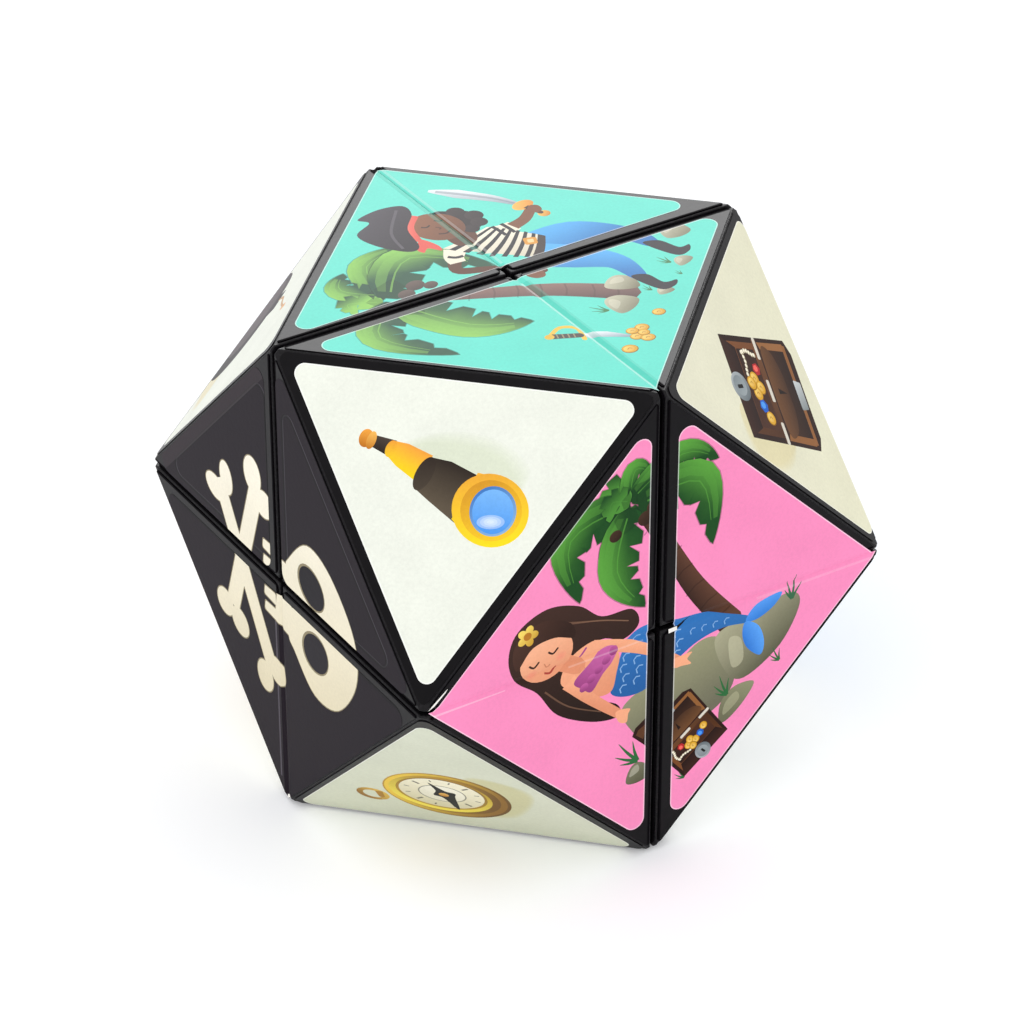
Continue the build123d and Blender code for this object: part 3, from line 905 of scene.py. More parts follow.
def crab(x, y, r, colour="d9503f", light="f0826a"):
    red, pale = flat(colour), flat(light)
    art = []
    for s in (-1, 1):
        for k in range(3):
            ends = (1.35 * s, -0.2 - 0.3 * k), (1.7 * s, -0.75 - 0.3 * k)
            leg = curve((0.6 * s, -0.15 - 0.2 * k), *ends, steps=4)
            art.append((ribbon(leg, 0.18, 0.16, 0.06), red))
        art += [
            (ribbon(curve((0.8 * s, 0.2), (1.4 * s, 0.5), (1.35 * s, 1.0)), 0.2, 0.24), red),
            (blob((1.1 * s, 0.95), (0.95 * s, 1.5), (1.3 * s, 1.25), (1.75 * s, 1.55),
                  (1.75 * s, 0.95), (1.4 * s, 0.8)), pale),
            (ribbon([(0.3 * s, 0.4), (0.34 * s, 0.85)], 0.1), red),
            (ellipse(0.35 * s, 0.95, 0.16, count=16), flat("fbf6ea")),
            (ellipse(0.35 * s, 0.97, 0.08, count=12), flat("241c1c")),
        ]
    art += [(ellipse(0, 0, 1.15, 0.75), red), (ellipse(-0.15, 0.15, 0.8, 0.42, 8), pale)]
    return laid(art, x, y, r)


def shell(x, y, size):
    """A scallop shell."""
    edge = []
    for k in range(41):
        a = radians(200 - 5.5 * k)
        wave = 1 + 0.05 * cos(9 * a)
        edge.append((5 * cos(a) * wave, 5.4 * sin(a) * wave))
    body = edge + [(1.2, -3.6), (-1.2, -3.6)]
    art = [(body, fade("fbe3c0", "e8a878", (x, y + 6 * size), (x, y - 4 * size)))]
    for k in range(7):
        a = radians(24 + 22 * k)
        rib = strip([(0.3 * cos(a), -2.6), (4.7 * cos(a), 5.0 * sin(a))], 0.16, 0.3)
        art.append((rib, wash("b96f4c", 0.45)))
    foot = plate(0.3, (-2.2, -4.4), (2.2, -4.4), (1.3, -3.0), (-1.3, -3.0))
    return laid(art + [(foot, flat("dd9468"))], x, y, size)


def fish(x, y, size, colour, dark):
    fin = flat(dark)
    art = [
        (blob((5.4, 0), (8.6, 2.8), (7.6, 0), (8.6, -2.8)), fin),
        (blob((-1.5, 2.2), (1.0, 4.6), (2.6, 2.4)), fin),
        (blob((-6.2, 0), (-2.6, 2.9), (2.4, 2.4), (6.2, 0), (2.4, -2.4), (-2.6, -2.9)),
         fade(colour, dark, (x, y + 3 * size), (x, y - 3 * size))),
        (ribbon(curve((-2.8, 2.2), (-2.0, 0), (-2.8, -2.2)), 0.3), fin),
        (ellipse(-4.2, 0.6, 0.6, count=16), flat("fbf6ea")),
        (ellipse(-4.3, 0.6, 0.3, count=12), flat("241c1c")),
    ]
    for k in range(3):
        rib = curve((0.2 + 1.5 * k, 1.4), (0.7 + 1.5 * k, 0), (0.2 + 1.5 * k, -1.4))
        art.append((ribbon(rib, 0.2), wash(dark, 0.6)))
    return laid(art, x, y, size)


def waves(x, y, width, colour="3f8fd0"):
    art = []
    for row in range(3):
        line = [
            (x - width / 2 + width * k / 24, y - 1.6 * row + 0.5 * sin(k * 1.3 + row))
            for k in range(25)
        ]
        art.append((ribbon(line, 0.5, 0.6, 0.5), flat(colour)))
    return art


def boat(x, y, size):
    art = [
        (ribbon([(0, -2), (0, 7.4)], 0.5), flat("6b4427")),
        (blob((0.6, 6.6), (4.8, 3.0), (5.4, -0.6), (0.6, -0.4)),
         fade("fbf7ea", "e4dcc6", (x, y + 6 * size), (x + 4 * size, y))),
        (blob((-0.6, 5.8), (-4.2, 2.0), (-4.6, -0.6), (-0.6, -0.4)),
         fade("f3ecd9", "dcd2b8", (x, y + 5 * size), (x - 4 * size, y))),
        (blob((-6.4, -1.4), (-4.6, -4.6), (4.6, -4.6), (6.6, -1.4), (0, -2.0)),
         fade("a5683a", "70411f", (x, y - 2 * size), (x, y - 5 * size))),
        (ribbon([(-5.4, -2.6), (5.6, -2.6)], 0.3), wash("40240f", 0.6)),
        ([(0, 7.4), (2.8, 6.8), (0, 6.0)], flat("d9503f")),
    ]
    return laid(art, x, y, size) + waves(x, y - 5.4 * size, 15 * size)


def palm_island(x, y, size):
    crown = (-0.6, 4.6)
    art = [
        (blob((-7, -5.4), (-3, -3.6), (3, -3.4), (7, -5.4), (0, -6.2)), flat("efd9a0")),
        (ribbon(curve((-0.6, -4), (0.4, 0), crown), 1.5, 1.1, 0.9), flat("7a5136")),
    ]
    for tip in ((-6, 3.0), (-5.4, 6.6), (-0.6, 9.4), (4.6, 7.2), (5.4, 3.2)):
        bend = (tip[0] * 0.6, 5.6 + 0.35 * (tip[1] - 3))
        side = 1 if tip[0] < 0 else -1
        art += leaf(crown, bend, tip, 1.7, side, "55a046", "2c6a2c")
    return laid(art, x, y, size) + waves(x, y - 7.2 * size, 17 * size)


def treasure_map():
    art = [
        (blob((-9.5, -8), (-10, 0), (-9, 8.6), (0, 8), (9.4, 8.8), (10, 0), (9.2, -8.4),
              (0, -8.8)), fade("ead9a6", "d9c084", (-9, 9), (9, -9))),
        (blob((-6, -4), (-5, 2.6), (-1, 5.4), (4.6, 4.2), (6.6, -1), (3, -5.6), (-2, -5.8)),
         flat("9cc07a")),
    ]
    trail = curve((-7.4, -6.6), (-4, -1.6), (0, -2.6), (2.4, 1.2))
    for k in range(0, len(trail) - 1, 2):
        art.append((ribbon(trail[k : k + 2], 0.5), flat("6b4a2c")))
    for cross in ([(1.9, 1.4), (4.3, 3.6)], [(4.3, 1.4), (1.9, 3.6)]):
        art.append((ribbon(cross, 0.8), flat("c8402f")))
    for k in range(3):
        x = -2.6 - 1.6 * k
        art.append(([(x - 0.9, 1.4), (x, 3.4), (x + 0.9, 1.4)], flat("7f8c63")))
    return art


def cannonball_art():
    """A dark cannonball with a lit fuse."""
    art = soft(lambda s: ellipse(-5.5, -11.5, 6 + 1.5 * s, 2.4 + s, -20), 4, "e2cf94", 0.5)
    art += [
        (ellipse(-7.8, -6.5, 7.2, 8.1, -8, 44), fade("4a4346", "272326", (-12, 0), (-2, -13))),
        (ellipse(-8.4, -5.6, 5.2, 5.8, -8, 36), wash("786c70", 0.45)),
        (plate(0.3, (-5.6, 0.6), (-2.6, -0.9), (-1.8, 1.3), (-4.6, 2.6)), flat("352f32")),
        (ribbon(curve((-3.4, 1.6), (-1.8, 3.2), (1.2, 4.4), (3.6, 5.8)), 0.45, 0.35),
         flat("c8a27c")),
        (blob((3.2, 5.4), (3.6, 6.4), (4.6, 6.5), (4.2, 5.5)), flat("e3ad78")),
    ]
    return art


def right_art():
    """Boats at sea under a sun."""
    x, y = 11, 9
    art = [(ellipse(x, y, 3.6, count=36), fade("ffe27a", "f5b63e", (8, 12), (14, 6)))]
    for k in range(10):
        c, s = cos(tau * k / 10), sin(tau * k / 10)
        ray = ribbon([(x + d * c, y + d * s) for d in (4.6, 6.2)], 0.7)
        art.append((ray, flat("f7c14c")))
    art += boat(-7, 3, 1.2) + waves(8, -4, 16)
    return art + fish(9, -11, 0.9, "f0a64a", "c9702c") + fish(-5, -16, 0.7, "ee7b6a", "b94a44")


def back_art():
    """Two palm islands and a starfish."""
    return (palm_island(-9, 4, 1.25) + palm_island(11, 5, 0.9) + starfish(-8, -13, 3.2)
            + shell(9, -10, 0.8) + anchor(0, 17, 1.6))


def bottom_art():
    """A map with the place marked."""
    return laid(treasure_map(), 0, 0, 1.5) + wheel(0, 19, 1.6) + crab(0, -19, 1.6)


def spyglass_art():
    art = soft(lambda s: blob((-6 - s, 2.5), (-2, 4.2 + 1.2 * s), (4, 3.6 + 1.8 * s),
                              (6.6 + 1.6 * s, 1.2 + 1.4 * s), (6, -1), (0, 0)),
               7, "c3cfa6", 0.42)
    art += [
        (strip([(-9.2, 3.8), (-6.6, 3.1)], 1.2, 1.9),
         fade("4c403a", "2a221f", (-8, 4.4), (-8.4, 2.6))),
        (ellipse(-9.7, 3.9, 0.75, 1.0, -15), fade("eea243", "b96f22", (-9.7, 4.8), (-9.7, 3))),
        (ellipse(-9.1, 3.75, 0.5, 1.0, -15), fade("f3b85c", "c27a28", (-9.1, 4.7), (-9.1, 2.9))),
        (strip([(-7.0, 3.2), (-5.6, 2.6), (-3.0, 1.4)], 1.7, 2.7, 3.3),
         fade("f0a040", "f6d21e", (-4.4, 3.6), (-5.4, 0.9))),
        (ellipse(-6.9, 3.1, 0.55, 0.95, -20), fade("e79a3a", "f0c52a", (-6.9, 4), (-6.9, 2.2))),
        (strip([(-3.0, 0.9), (-1.2, 0.3), (2.2, -1.4)], 3.8, 4.8, 5.6),
         fade("2d2521", "5e5345", (0, 2.6), (-1.4, -2.4))),
        (ellipse(-3.0, 0.9, 0.9, 1.95, -22), fade("342b26", "4b4238", (-3, 2.6), (-3, -1))),
        (strip([(1.6, -0.9), (4.2, -2.0)], 5.6, 7.4),
         fade("f6b13c", "f7d51d", (2.6, 2), (1.4, -4))),
        (ellipse(4.5, -2.1, 4.15, 3.85, -10, 40), fade("e9a53a", "f9dc22", (3.6, 2), (5.6, -6))),
        (ellipse(4.6, -2.1, 3.3, 3.2, -10, 40), fade("d2922c", "f2c52a", (3, 1), (6, -5))),
        (ellipse(4.8, -2.15, 2.5, 2.65, -8, 40), fade("2f6fbc", "8fb7dc", (3, 0.5), (7, -5))),
        (ellipse(4.8, -2.2, 2.2, 2.35, -8, 40), fade("7cb8f4", "4b93e6", (5, 0.5), (5, -4.6))),
    ]
    art += soft(lambda s: ellipse(4.7, -3.3, 1.5 * s, 0.75 * s, 8), 4, "eaf3fb", 0.75)
    return art


def compass_art():
    art = soft(lambda s: blob((-3 - s, 5), (0, 8 + s), (4, 7.4 + s), (7.6 + 1.2 * s, 2), (6, -3),
                              (0, 0)),
               7, "c4bd80", 0.6)
    art += [
        (ellipse(0.9, -1.7, 7.3, 7.1, 35, 48), fade("b98f2e", "6a4a1c", (-4, -5), (5, 3))),
        (ellipse(0.85, -1.8, 7.0, 6.8, 35, 48), fade("e6c244", "8a6324", (-4, -5), (4.6, 3))),
        (ellipse(0.75, -1.8, 6.3, 6.1, 35, 48), fade("c49a34", "6f4d1e", (-3, -5), (4, 3))),
        (ellipse(0.5, -2.3, 5.9, 5.6, 35, 48), fade("a27a2a", "efdc52", (-4, 2), (3, -6))),
        (ellipse(0.3, -2.0, 5.2, 5.1, 35, 48), fade("7c5c22", "b8922f", (-3, 2), (3, -6))),
        (ellipse(0.25, -1.95, 4.85, 4.8, 35, 48), fade("f2ecd4", "cfc8a2", (-3, 2), (4, -6))),
        (ellipse(0.3, -1.9, 2.75, 2.75, 0, 40), flat("8f8d7c")),
        (ellipse(0.3, -1.9, 2.58, 2.58, 0, 40), fade("f4f0e0", "dcd7bd", (-2, 1), (3, -4))),
    ]
    for k in range(12):
        a = tau * k / 12 + 0.2
        near, width = (3.4, 0.34) if k % 3 == 0 else (3.8, 0.2)
        tick = strip([(0.3 + d * cos(a), -1.9 + d * sin(a)) for d in (near, 4.4)], width)
        art.append((tick, wash("3c3a30", 0.8)))
    art += [
        (blob((-3.2, -1.2), (-0.4, -1.0), (0.6, -0.3), (1.8, -1.2), (5.4, -3.4), (1.6, -2.7),
              (0.4, -3.2), (-0.8, -2.0)),
         flat("1e1d1c")),
        (ellipse(0.65, -1.95, 0.62, 0.55), fade("e6b45a", "a56f2a", (0.2, -1.5), (1.1, -2.4))),
    ]
    ring = ellipse(-1.0, -10.9, 1.65, 1.45, count=20)
    art += [
        (strip(ring + ring[:1], 0.75), fade("d8b24a", "8f6526", (-1, -9.4), (-1, -12.4))),
        (ribbon([(-1.6, -9.6), (0.0, -10.4)], 0.9, 0.7), flat("a97c2e")),
    ]
    return art


def chest_corner_art():
    art = soft(lambda s: blob((-10.5 - 1.2 * s, -2), (-8, 2), (-3, -3), (-2, -7),
                              (-6, -7 - 1.2 * s), (-10, -5 - 1.2 * s)),
               6, "d9c98c", 0.5)
    return art + chest(0.2, -1.6, -38, 1.02)


# ---------------------------------------------------------------- materials

MOULDED = "0c0a0d"  # the shells' black
MARGIN = "0a080b"  # the films' black margin
SATIN = (0.34, 0.1)  # roughness and specular level of the flat film
DULL = (0.8, 0.02)  # and of the film where it is rolled over an edge
ROLLED = (0.8 * MM, 0.95 * MM)  # from a square side's plane to where the flat film starts


def material(name, colour, rough, metallic=0.0, specular=0.5):
    m = bpy.data.materials.new(name)
    m.use_nodes = True
    shader = m.node_tree.nodes["Principled BSDF"]
    shader.inputs["Base Color"].default_value = (*rgb(colour), 1)
    shader.inputs["Roughness"].default_value = rough
    shader.inputs["Metallic"].default_value = metallic
    shader.inputs["Specular IOR Level"].default_value = specular
    return m, m.node_tree, shader


def noise(tree, density, detail=2.0, rough=0.5):
    """Noise fixed to the object; density is in features per metre."""
    where = tree.nodes.new("ShaderNodeTexCoord")
    n = tree.nodes.new("ShaderNodeTexNoise")
    n.inputs["Scale"].default_value = density
    n.inputs["Detail"].default_value = detail
    n.inputs["Roughness"].default_value = rough
    tree.links.new(where.outputs["Object"], n.inputs["Vector"])
    return n.outputs["Fac"]


def ramp(tree, value, low, high, start=0.0, end=1.0):
    """From low where value is start to high where it is end."""
    r = tree.nodes.new("ShaderNodeMapRange")
    r.inputs["From Min"].default_value = start
    r.inputs["From Max"].default_value = end
    r.inputs["To Min"].default_value = low
    r.inputs["To Max"].default_value = high
    tree.links.new(value, r.inputs["Value"])
    return r.outputs["Result"]


def maths(tree, operation, first, second=None):
    """A maths node of a socket and, if given, another socket or a number."""
    m = tree.nodes.new("ShaderNodeMath")
    m.operation = operation
    tree.links.new(first, m.inputs[0])
    if isinstance(second, bpy.types.NodeSocket):
        tree.links.new(second, m.inputs[1])
    elif second is not None:
        m.inputs[1].default_value = second
    return m.outputs[0]


def bump(tree, shader, height, depth):
    b = tree.nodes.new("ShaderNodeBump")
    b.inputs["Distance"].default_value = depth
    tree.links.new(height, b.inputs["Height"])
    tree.links.new(b.outputs["Normal"], shader.inputs["Normal"])


def tint(tree, shader, colour_socket, value):
    """Multiply the colour by a slowly changing value."""
    m = tree.nodes.new("ShaderNodeVectorMath")
    m.operation = "SCALE"
    tree.links.new(colour_socket, m.inputs[0])
    tree.links.new(value, m.inputs["Scale"])
    tree.links.new(m.outputs["Vector"], shader.inputs["Base Color"])


def constant(tree, colour):
    c = tree.nodes.new("ShaderNodeRGB")
    c.outputs[0].default_value = (*rgb(colour), 1)
    return c.outputs[0]


def textured_plastic():
    """Black ABS with a fine spark-eroded grain and slightly polished high spots."""
    m, tree, shader = material("black_textured_plastic", MOULDED, 0.45, specular=0.2)
    grain = noise(tree, 3600, 3)
    tint(tree, shader, constant(tree, MOULDED), ramp(tree, grain, 0.3, 2.4, 0.35, 0.7))
    tree.links.new(ramp(tree, noise(tree, 300, 2), 0.42, 0.6), shader.inputs["Roughness"])
    bump(tree, shader, grain, 0.09 * MM)
    return m


def black_film():
    """The printed film's black margin under a satin laminate."""
    m, tree, shader = material("black_printed_film", MARGIN, SATIN[0], specular=SATIN[1])
    # Beside the cells' square sides the film is rolled over the edge, so it is dull there.
    where = tree.nodes.new("ShaderNodeTexCoord")
    parts = tree.nodes.new("ShaderNodeSeparateXYZ")
    tree.links.new(where.outputs["Object"], parts.inputs["Vector"])
    nearest = None
    for axis, plane in zip("XYZ", (0, 0, CELL * MM)):
        away = maths(tree, "ABSOLUTE", maths(tree, "SUBTRACT", parts.outputs[axis], plane))
        nearest = away if nearest is None else maths(tree, "MINIMUM", nearest, away)
    for name, dull, satin in zip(("Roughness", "Specular IOR Level"), DULL, SATIN):
        tree.links.new(ramp(tree, nearest, dull, satin, *ROLLED), shader.inputs[name])
    cloud = ramp(tree, noise(tree, 900, 3), 0.8, 1.25, 0.3, 0.7)
    tint(tree, shader, constant(tree, MARGIN), cloud)
    bump(tree, shader, noise(tree, 1600, 2), 0.01 * MM)
    return m


def ink():
    """The print: its colours with the fine mottling of ink on satin film."""
    m, tree, shader = material("printed_ink", "ffffff", 0.42, specular=0.06)
    paint = tree.nodes.new("ShaderNodeAttribute")
    paint.attribute_name = "paint"
    broad = ramp(tree, noise(tree, 160, 3), 0.97, 1.03, 0.3, 0.7)
    fine = ramp(tree, noise(tree, 2600, 2, 0.7), 0.965, 1.035, 0.3, 0.7)
    tint(tree, shader, paint.outputs["Color"], maths(tree, "MULTIPLY", broad, fine))
    bump(tree, shader, noise(tree, 1500, 2), 0.008 * MM)
    return m


def nickel():
    """Bright plating, slightly uneven."""
    m, tree, shader = material("nickel_plate", "c4c2bc", 0.22, metallic=1.0)
    tree.links.new(ramp(tree, noise(tree, 1200, 3), 0.16, 0.3), shader.inputs["Roughness"])
    bump(tree, shader, noise(tree, 2400, 2), 0.004 * MM)
    return m


INK_MATERIAL = ink()
PLASTIC = textured_plastic()
FILM_BLACK = black_film()
NICKEL = nickel()
FINISH = {
    "inner_shell": PLASTIC,
    "outer_shell": PLASTIC,
    "magnets": NICKEL,
    "square_labels": FILM_BLACK,
    "quarter_labels": FILM_BLACK,
    "corner_label": FILM_BLACK,
    "hinge_film": FILM_BLACK,
}
for node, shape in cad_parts.items():
    finish = next(m for words, m in FINISH.items() if words in node)
    shape.data.materials.clear()
    shape.data.materials.append(finish)


# ---------------------------------------------------------------- the puzzle's sides

# Each square side: the way out of it, its art's x direction and y direction.
SIDES = {
    "top": ((0, 0, 1), (1, 0, 0), (0, 1, 0)),
    "front": ((0, -1, 0), (1, 0, 0), (0, 0, 1)),
    "left": ((-1, 0, 0), (0, -1, 0), (0, 0, 1)),
    "right": ((1, 0, 0), (0, 1, 0), (0, 0, 1)),
    "back": ((0, 1, 0), (-1, 0, 0), (0, 0, 1)),
    "bottom": ((0, 0, -1), (1, 0, 0), (0, -1, 0)),
}
CENTRE = Vector((0, 0, CELL))


def cell_at(x, y, z):
    """The body in the octant of these signs."""
    level = "top" if z > 0 else "bottom"
    depth = "front" if y < 0 else "back"
    return f"{level}_{depth}_{'left' if x < 0 else 'right'}"


# The hinges: film node, side, whether its line is the side's upright or its level middle line,
# and which half of that line it takes.
HINGES = [
    ("top_front_hinge_film", "top", True, -1),
    ("front_left_hinge_film", "front", False, -1),
    ("front_right_hinge_film", "front", False, 1),
    ("left_bottom_hinge_film", "left", True, -1),
    ("right_bottom_hinge_film", "right", True, -1),
    ("back_right_hinge_film", "back", False, -1),
    ("back_left_hinge_film", "back", False, 1),
    ("top_back_hinge_film", "top", True, 1),
]
OPEN_HINGE = "top_back_hinge_film"


def side_place(side, dipping=None):
    """From the art's plane to the puzzle; dipping is the coordinate across a hinge."""
    out, across, up = (Vector(v) for v in SIDES[side])

    def place(p, lift):
        drop = 0.0 if dipping is None else CREASE * (1 - min(1.0, abs(p[dipping]) / EDGE))
        at = CENTRE + out * (CELL + lift - drop) + across * p[0] + up * p[1]
        return tuple(at * MM)

    return place


def hinge_lines(side):
    return {(upright, half) for _, s, upright, half in HINGES if s == side}


def quarter_outline(side, sx, sy, fold=EDGE):
    """The printed area of one quarter of a side; fold is where it stops beside a hinge's line."""
    upright, middle, outer, slant = UNEVEN.get((side, sx, sy), MARGINS)
    lines = hinge_lines(side)
    hinge_x = (True, sy) in lines  # a hinge on the upright line x = 0
    hinge_y = (False, sx) in lines  # a hinge on the level line y = 0
    x = fold if hinge_x else upright
    y0, y1 = (fold, fold) if hinge_y else (middle, outer)
    far = CELL - slant * sqrt(2)
    corners = [
        (x, y0, 0 if hinge_x or hinge_y else ROUND),
        (far - y1, y1, 0 if hinge_y else ROUND),
        (x, far - x, 0 if hinge_x else ROUND),
    ]
    return [(sx * a, sy * b) for a, b in rounded(corners)], hinge_x, hinge_y


def quarter_rim(side, sx, sy):
    """The rim of one quarter's print, which leaves out its hinge's line."""
    line, hinge_x, hinge_y = quarter_outline(side, sx, sy, 0)
    if hinge_y:
        line = line[1:] + line[:1]
    elif not hinge_x:
        line = line + line[:1]
    return rim(line)


def hinge_region(side, upright, half, hand, start):
    """One slope of a hinge's film, from start beside its line to the flat film."""
    key = (side, hand, half) if upright else (side, half, hand)
    beside, level, _, slant = UNEVEN.get(key, MARGINS)
    near = level if upright else beside
    far = CELL - slant * sqrt(2)
    corners = [(start, near), (start, far - start), (EDGE, far - EDGE), (EDGE, near)]
    if upright:
        return [(hand * a, half * b) for a, b in corners]
    return [(half * b, hand * a) for a, b in corners]


def print_side(side, ground, art, rimmed=True):
    """Print one square side of the puzzle: its four quarters and its hinges."""
    out, across, up = (Vector(v) for v in SIDES[side])
    quarters = [(sx, sy) for sx in (-1, 1) for sy in (-1, 1)]
    hinges = [h for h in HINGES if h[1] == side]
    regions = [quarter_outline(side, sx, sy)[0] for sx, sy in quarters]
    if rimmed:
        art = art + [quarter_rim(side, sx, sy) for sx, sy in quarters]
    for node, _, upright, half in hinges:
        start = SPLIT if node == OPEN_HINGE else 0
        regions += [hinge_region(side, upright, half, hand, start) for hand in (-1, 1)]
    pieces = cut(regions, art)
    for k, (sx, sy) in enumerate(quarters):
        body = cell_at(*(out + across * sx + up * sy))
        piece = skin(f"{body}_{side}_print", pieces, [k], regions, art, ground, side_place(side))
        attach(piece, body)
    for k, (node, _, upright, half) in enumerate(hinges):
        place = side_place(side, 0 if upright else 1)
        first = len(quarters) + 2 * k
        slopes = [first, first + 1]
        bodies = []
        for hand in (-1, 1):
            sx, sy = (hand, half) if upright else (half, hand)
            bodies.append(cell_at(*(out + across * sx + up * sy)))
        if node == OPEN_HINGE:
            for slope, body, word in zip(slopes, bodies, ("left", "right")):
                name = f"{node}_{word}"
                piece = skin(f"{name}_print", pieces, [slope], regions, art, ground, place)
                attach(piece, body)
            continue
        name = node.replace("_film", "_print")
        piece = skin(name, pieces, slopes, regions, art, ground, place, FILM)
        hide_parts(node)
        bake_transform(piece)


def scrap(name, side, body, corners):
    """A scrap of the film's white paper core where the film is torn."""
    regions = [corners]
    place = side_place(side)
    piece = skin(name, cut(regions, []), [0], regions, [], flat("f1eee8"),
                 lambda p, lift: place(p, lift + 2 * INK))
    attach(piece, body)


print_side("top", down("68dbc9", "5dd8c5", 25), top_art())
print_side("front", down("f58dbc", "f68ebd", 25), front_art())
print_side("left", flat("180f19"), left_art(), rimmed=False)
print_side("right", down("8fd3f4", "6fb9e8", 25), right_art())
print_side("back", down("f7d38a", "f2c069", 25), back_art())
print_side("bottom", down("b9a4e0", "a58fd3", 25), bottom_art())


scrap("torn_core_middle", "front", "bottom_front_right",
      [(1.25, -0.25), (2.35, -0.2), (2.4, -0.72), (1.3, -0.8)])
scrap("torn_core_outer", "front", "top_front_left",
      [(-29.2, 0.45), (-28.4, 0.8), (-27.0, 2.05), (-26.7, 2.5), (-27.4, 1.95), (-28.6, 1.0)])
scrap("torn_core_lower", "left", "bottom_front_left",
      [(0.15, -29.3), (0.75, -28.9), (0.6, -28.5), (0.15, -28.8)])


# ---------------------------------------------------------------- the slanted sides

def slant_axes(octant, axis):
    """Out, across and up of a slanted side; up leans towards one of its octant's directions."""
    out = Vector(octant).normalized()
    lean = Vector([octant[k] if k == axis else 0 for k in range(3)])
    up = (lean - out * lean.dot(out)).normalized()
    return out, up.cross(out), up


def slant_region(margin, shift):
    """The printed area of a slanted side, a little off its middle."""
    reach = 2 * (CELL / sqrt(6) - margin)
    turns = [radians(30 + 120 * k) for k in range(3)]
    return moved(plate(SLANT_ROUND, *[(reach * cos(a), reach * sin(a)) for a in turns]), *shift)


def print_slant(octant, axis, ground, art, margin=0.9, shift=(0.0, 0.0)):
    """Print a cell's slanted side."""
    out, across, up = slant_axes(octant, axis)
    middle = CENTRE + Vector(octant) * (2 * CELL / 3)

    def place(p, lift):
        return tuple((middle + out * lift + across * p[0] + up * p[1]) * MM)

    body = cell_at(*octant)
    regions = [slant_region(margin, shift)]
    art = art + [rim(regions[0] + regions[0][:1])]
    piece = skin(f"{body}_corner_print", cut(regions, art), [0], regions, art, ground, place)
    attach(piece, body)


CREAM = lit("e9ece1", "e7eadf", 0, 0, 10)
SAND = lit("e2e0c8", "e3e1c6", 0, 0, 10)
OLIVE = lit("d0d4c0", "d2d5bf", 0, 0, 10)
print_slant((-1, -1, 1), 2, CREAM, spyglass_art(), 1.2)
print_slant((1, -1, 1), 2, SAND, chest_corner_art(), 0.75, (0.4, -0.35))
print_slant((-1, -1, -1), 1, OLIVE, compass_art(), 0.9, (0.3, -0.5))
print_slant((-1, 1, 1), 2, CREAM, cannonball_art(), 1.0)
print_slant((1, -1, -1), 2, CREAM, anchor(0, 0, 3.4))
print_slant((-1, 1, -1), 2, SAND, wheel(0, 0, 3.4))
print_slant((1, 1, -1), 2, CREAM, starfish(0, 0, 4.6))
print_slant((1, 1, 1), 2, SAND, crab(0, -0.5, 3.6))


# ---------------------------------------------------------------- the square sides

def print_square(octant, axis, ground, art):
    """Print one of a cell's square sides, which face its neighbours at rest."""
    others = [k for k in range(3) if k != axis]
    out = Vector([-octant[axis] if k == axis else 0 for k in range(3)])
    across = Vector([octant[others[0]] if k == others[0] else 0 for k in range(3)])
    up = out.cross(across)
    middle = CENTRE + Vector([NEAR * o if k == axis else (CELL + NEAR) / 2 * o
                              for k, o in enumerate(octant)])

    def place(p, lift):
        return tuple((middle + out * lift + across * p[0] + up * p[1]) * MM)

    body = cell_at(*octant)
    half = (CELL - NEAR) / 2 - SQUARE_MARGIN
    regions = [plate(ROUND, (-half, -half), (half, -half), (half, half), (-half, half))]
    name = f"{body}_{'xyz'[axis]}_square_print"
    piece = skin(name, cut(regions, art), [0], regions, art, ground, place)
    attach(piece, body)


TEAL = down("7df2dc", "6fe8cf", 12)
PINK = down("fb9ccb", "f793c4", 12)
GOLDFISH = fish(0, 0, 1.3, "f0a64a", "c9702c")
# The square sides' grounds, each with its three pictures.
TILES = [
    (TEAL, (palm_island(0, -1, 1.0), boat(0, 0, 1.15), GOLDFISH)),
    (PINK, (anchor(0, 0, 3.6), starfish(0, 0, 6.2), shell(0, -1, 1.3))),
    (CREAM, (wheel(0, 0, 3.6), treasure_map(), crab(0, 0, 4.4))),
]
for k, octant in enumerate((x, y, z) for x in (-1, 1) for y in (-1, 1) for z in (-1, 1)):
    for axis in range(3):
        ground, motifs = TILES[(k + axis) % 3]
        print_square(octant, axis, ground, motifs[(k // 3 + axis) % 3])


# ---------------------------------------------------------------- camera, floor and light

CAMERA_LENS = 142.3  # mm
SENSOR = 36  # mm wide
CAMERA_AT = (-6.8756, -10.8821, 8.2512)  # from the puzzle's middle, in cells
CAMERA_AIM = (-0.003, -0.017, -0.025)  # also in cells
FLOOR_REACH = 3.0  # metres
FLOOR_DROP = 0.05  # mm under the lower side, so that the two don't flicker
FLOOR_GLOW = 0.17  # keeps the paper white in the object's soft shade
ROOM_LIGHT = 0.95
# Each lamp's direction from the puzzle as azimuth and elevation in degrees, its distance and
# size in metres, and its power in watts.
KEY = (-70, 60, 0.7, 0.5, 0.9)
FILL = (40, 30, 0.9, 0.6, 0.25)
SHEEN = (148, 33, 0.9, 0.8, 13.0)


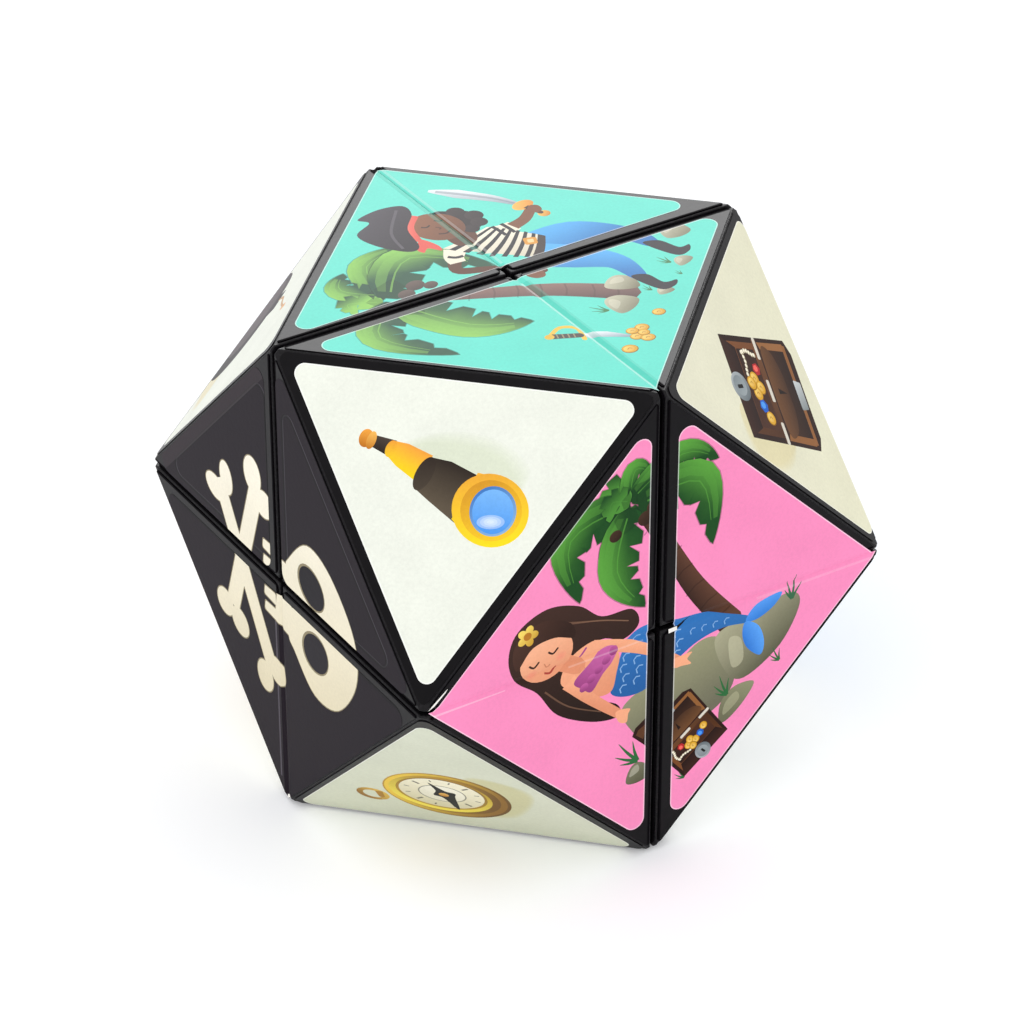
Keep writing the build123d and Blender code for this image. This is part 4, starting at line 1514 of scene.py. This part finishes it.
def facing(thing, place, way, track):
    """Put a thing at a place with one of its axes along a direction."""
    thing.location = place
    thing.rotation_mode = "QUATERNION"
    thing.rotation_quaternion = way.to_track_quat(track, "Y")
    bpy.context.scene.collection.objects.link(thing)


def softbox(name, azimuth, elevation, distance, size, power):
    a, e = radians(azimuth), radians(elevation)
    way = Vector((sin(a) * cos(e), -cos(a) * cos(e), sin(e)))
    light = bpy.data.lights.new(name, "AREA")
    light.shape = "SQUARE"
    light.size = size
    light.energy = power
    lamp = bpy.data.objects.new(name, light)
    facing(lamp, CENTRE * MM + way * distance, way, "Z")
    return lamp


scene = bpy.context.scene
camera = bpy.data.objects.new("camera", bpy.data.cameras.new("camera"))
camera.data.lens = CAMERA_LENS
camera.data.sensor_width = SENSOR
place, aim = ((CENTRE + CELL * Vector(spot)) * MM for spot in (CAMERA_AT, CAMERA_AIM))
facing(camera, place, aim - place, "-Z")
scene.camera = camera

floor_mesh = bpy.data.meshes.new("floor")
corners = [(sx * FLOOR_REACH, sy * FLOOR_REACH, -FLOOR_DROP * MM)
           for sx, sy in ((-1, -1), (1, -1), (1, 1), (-1, 1))]
floor_mesh.from_pydata(corners, [], [(0, 1, 2, 3)])
floor = bpy.data.objects.new("floor", floor_mesh)
scene.collection.objects.link(floor)
paper, _, paper_shader = material("white_paper", "f3f4f7", 0.9, specular=0.1)
paper_shader.inputs["Emission Color"].default_value = (1, 1, 1, 1)
paper_shader.inputs["Emission Strength"].default_value = FLOOR_GLOW
floor_mesh.materials.append(paper)
floor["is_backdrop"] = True

world = bpy.data.worlds.new("studio")
world.use_nodes = True
room = world.node_tree.nodes["Background"]
room.inputs["Color"].default_value = (1, 1, 1, 1)
room.inputs["Strength"].default_value = ROOM_LIGHT
scene.world = world

softbox("key", *KEY)
softbox("fill", *FILL)
# The sheen only shows as a reflection, so it doesn't light the colours.
softbox("sheen", *SHEEN).visible_diffuse = False

scene.view_settings.view_transform = "Standard"

boxes = {"cad": cad_box, "visual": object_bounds()}
{k: [list(low), list(high)] for k, (low, high) in boxes.items()}
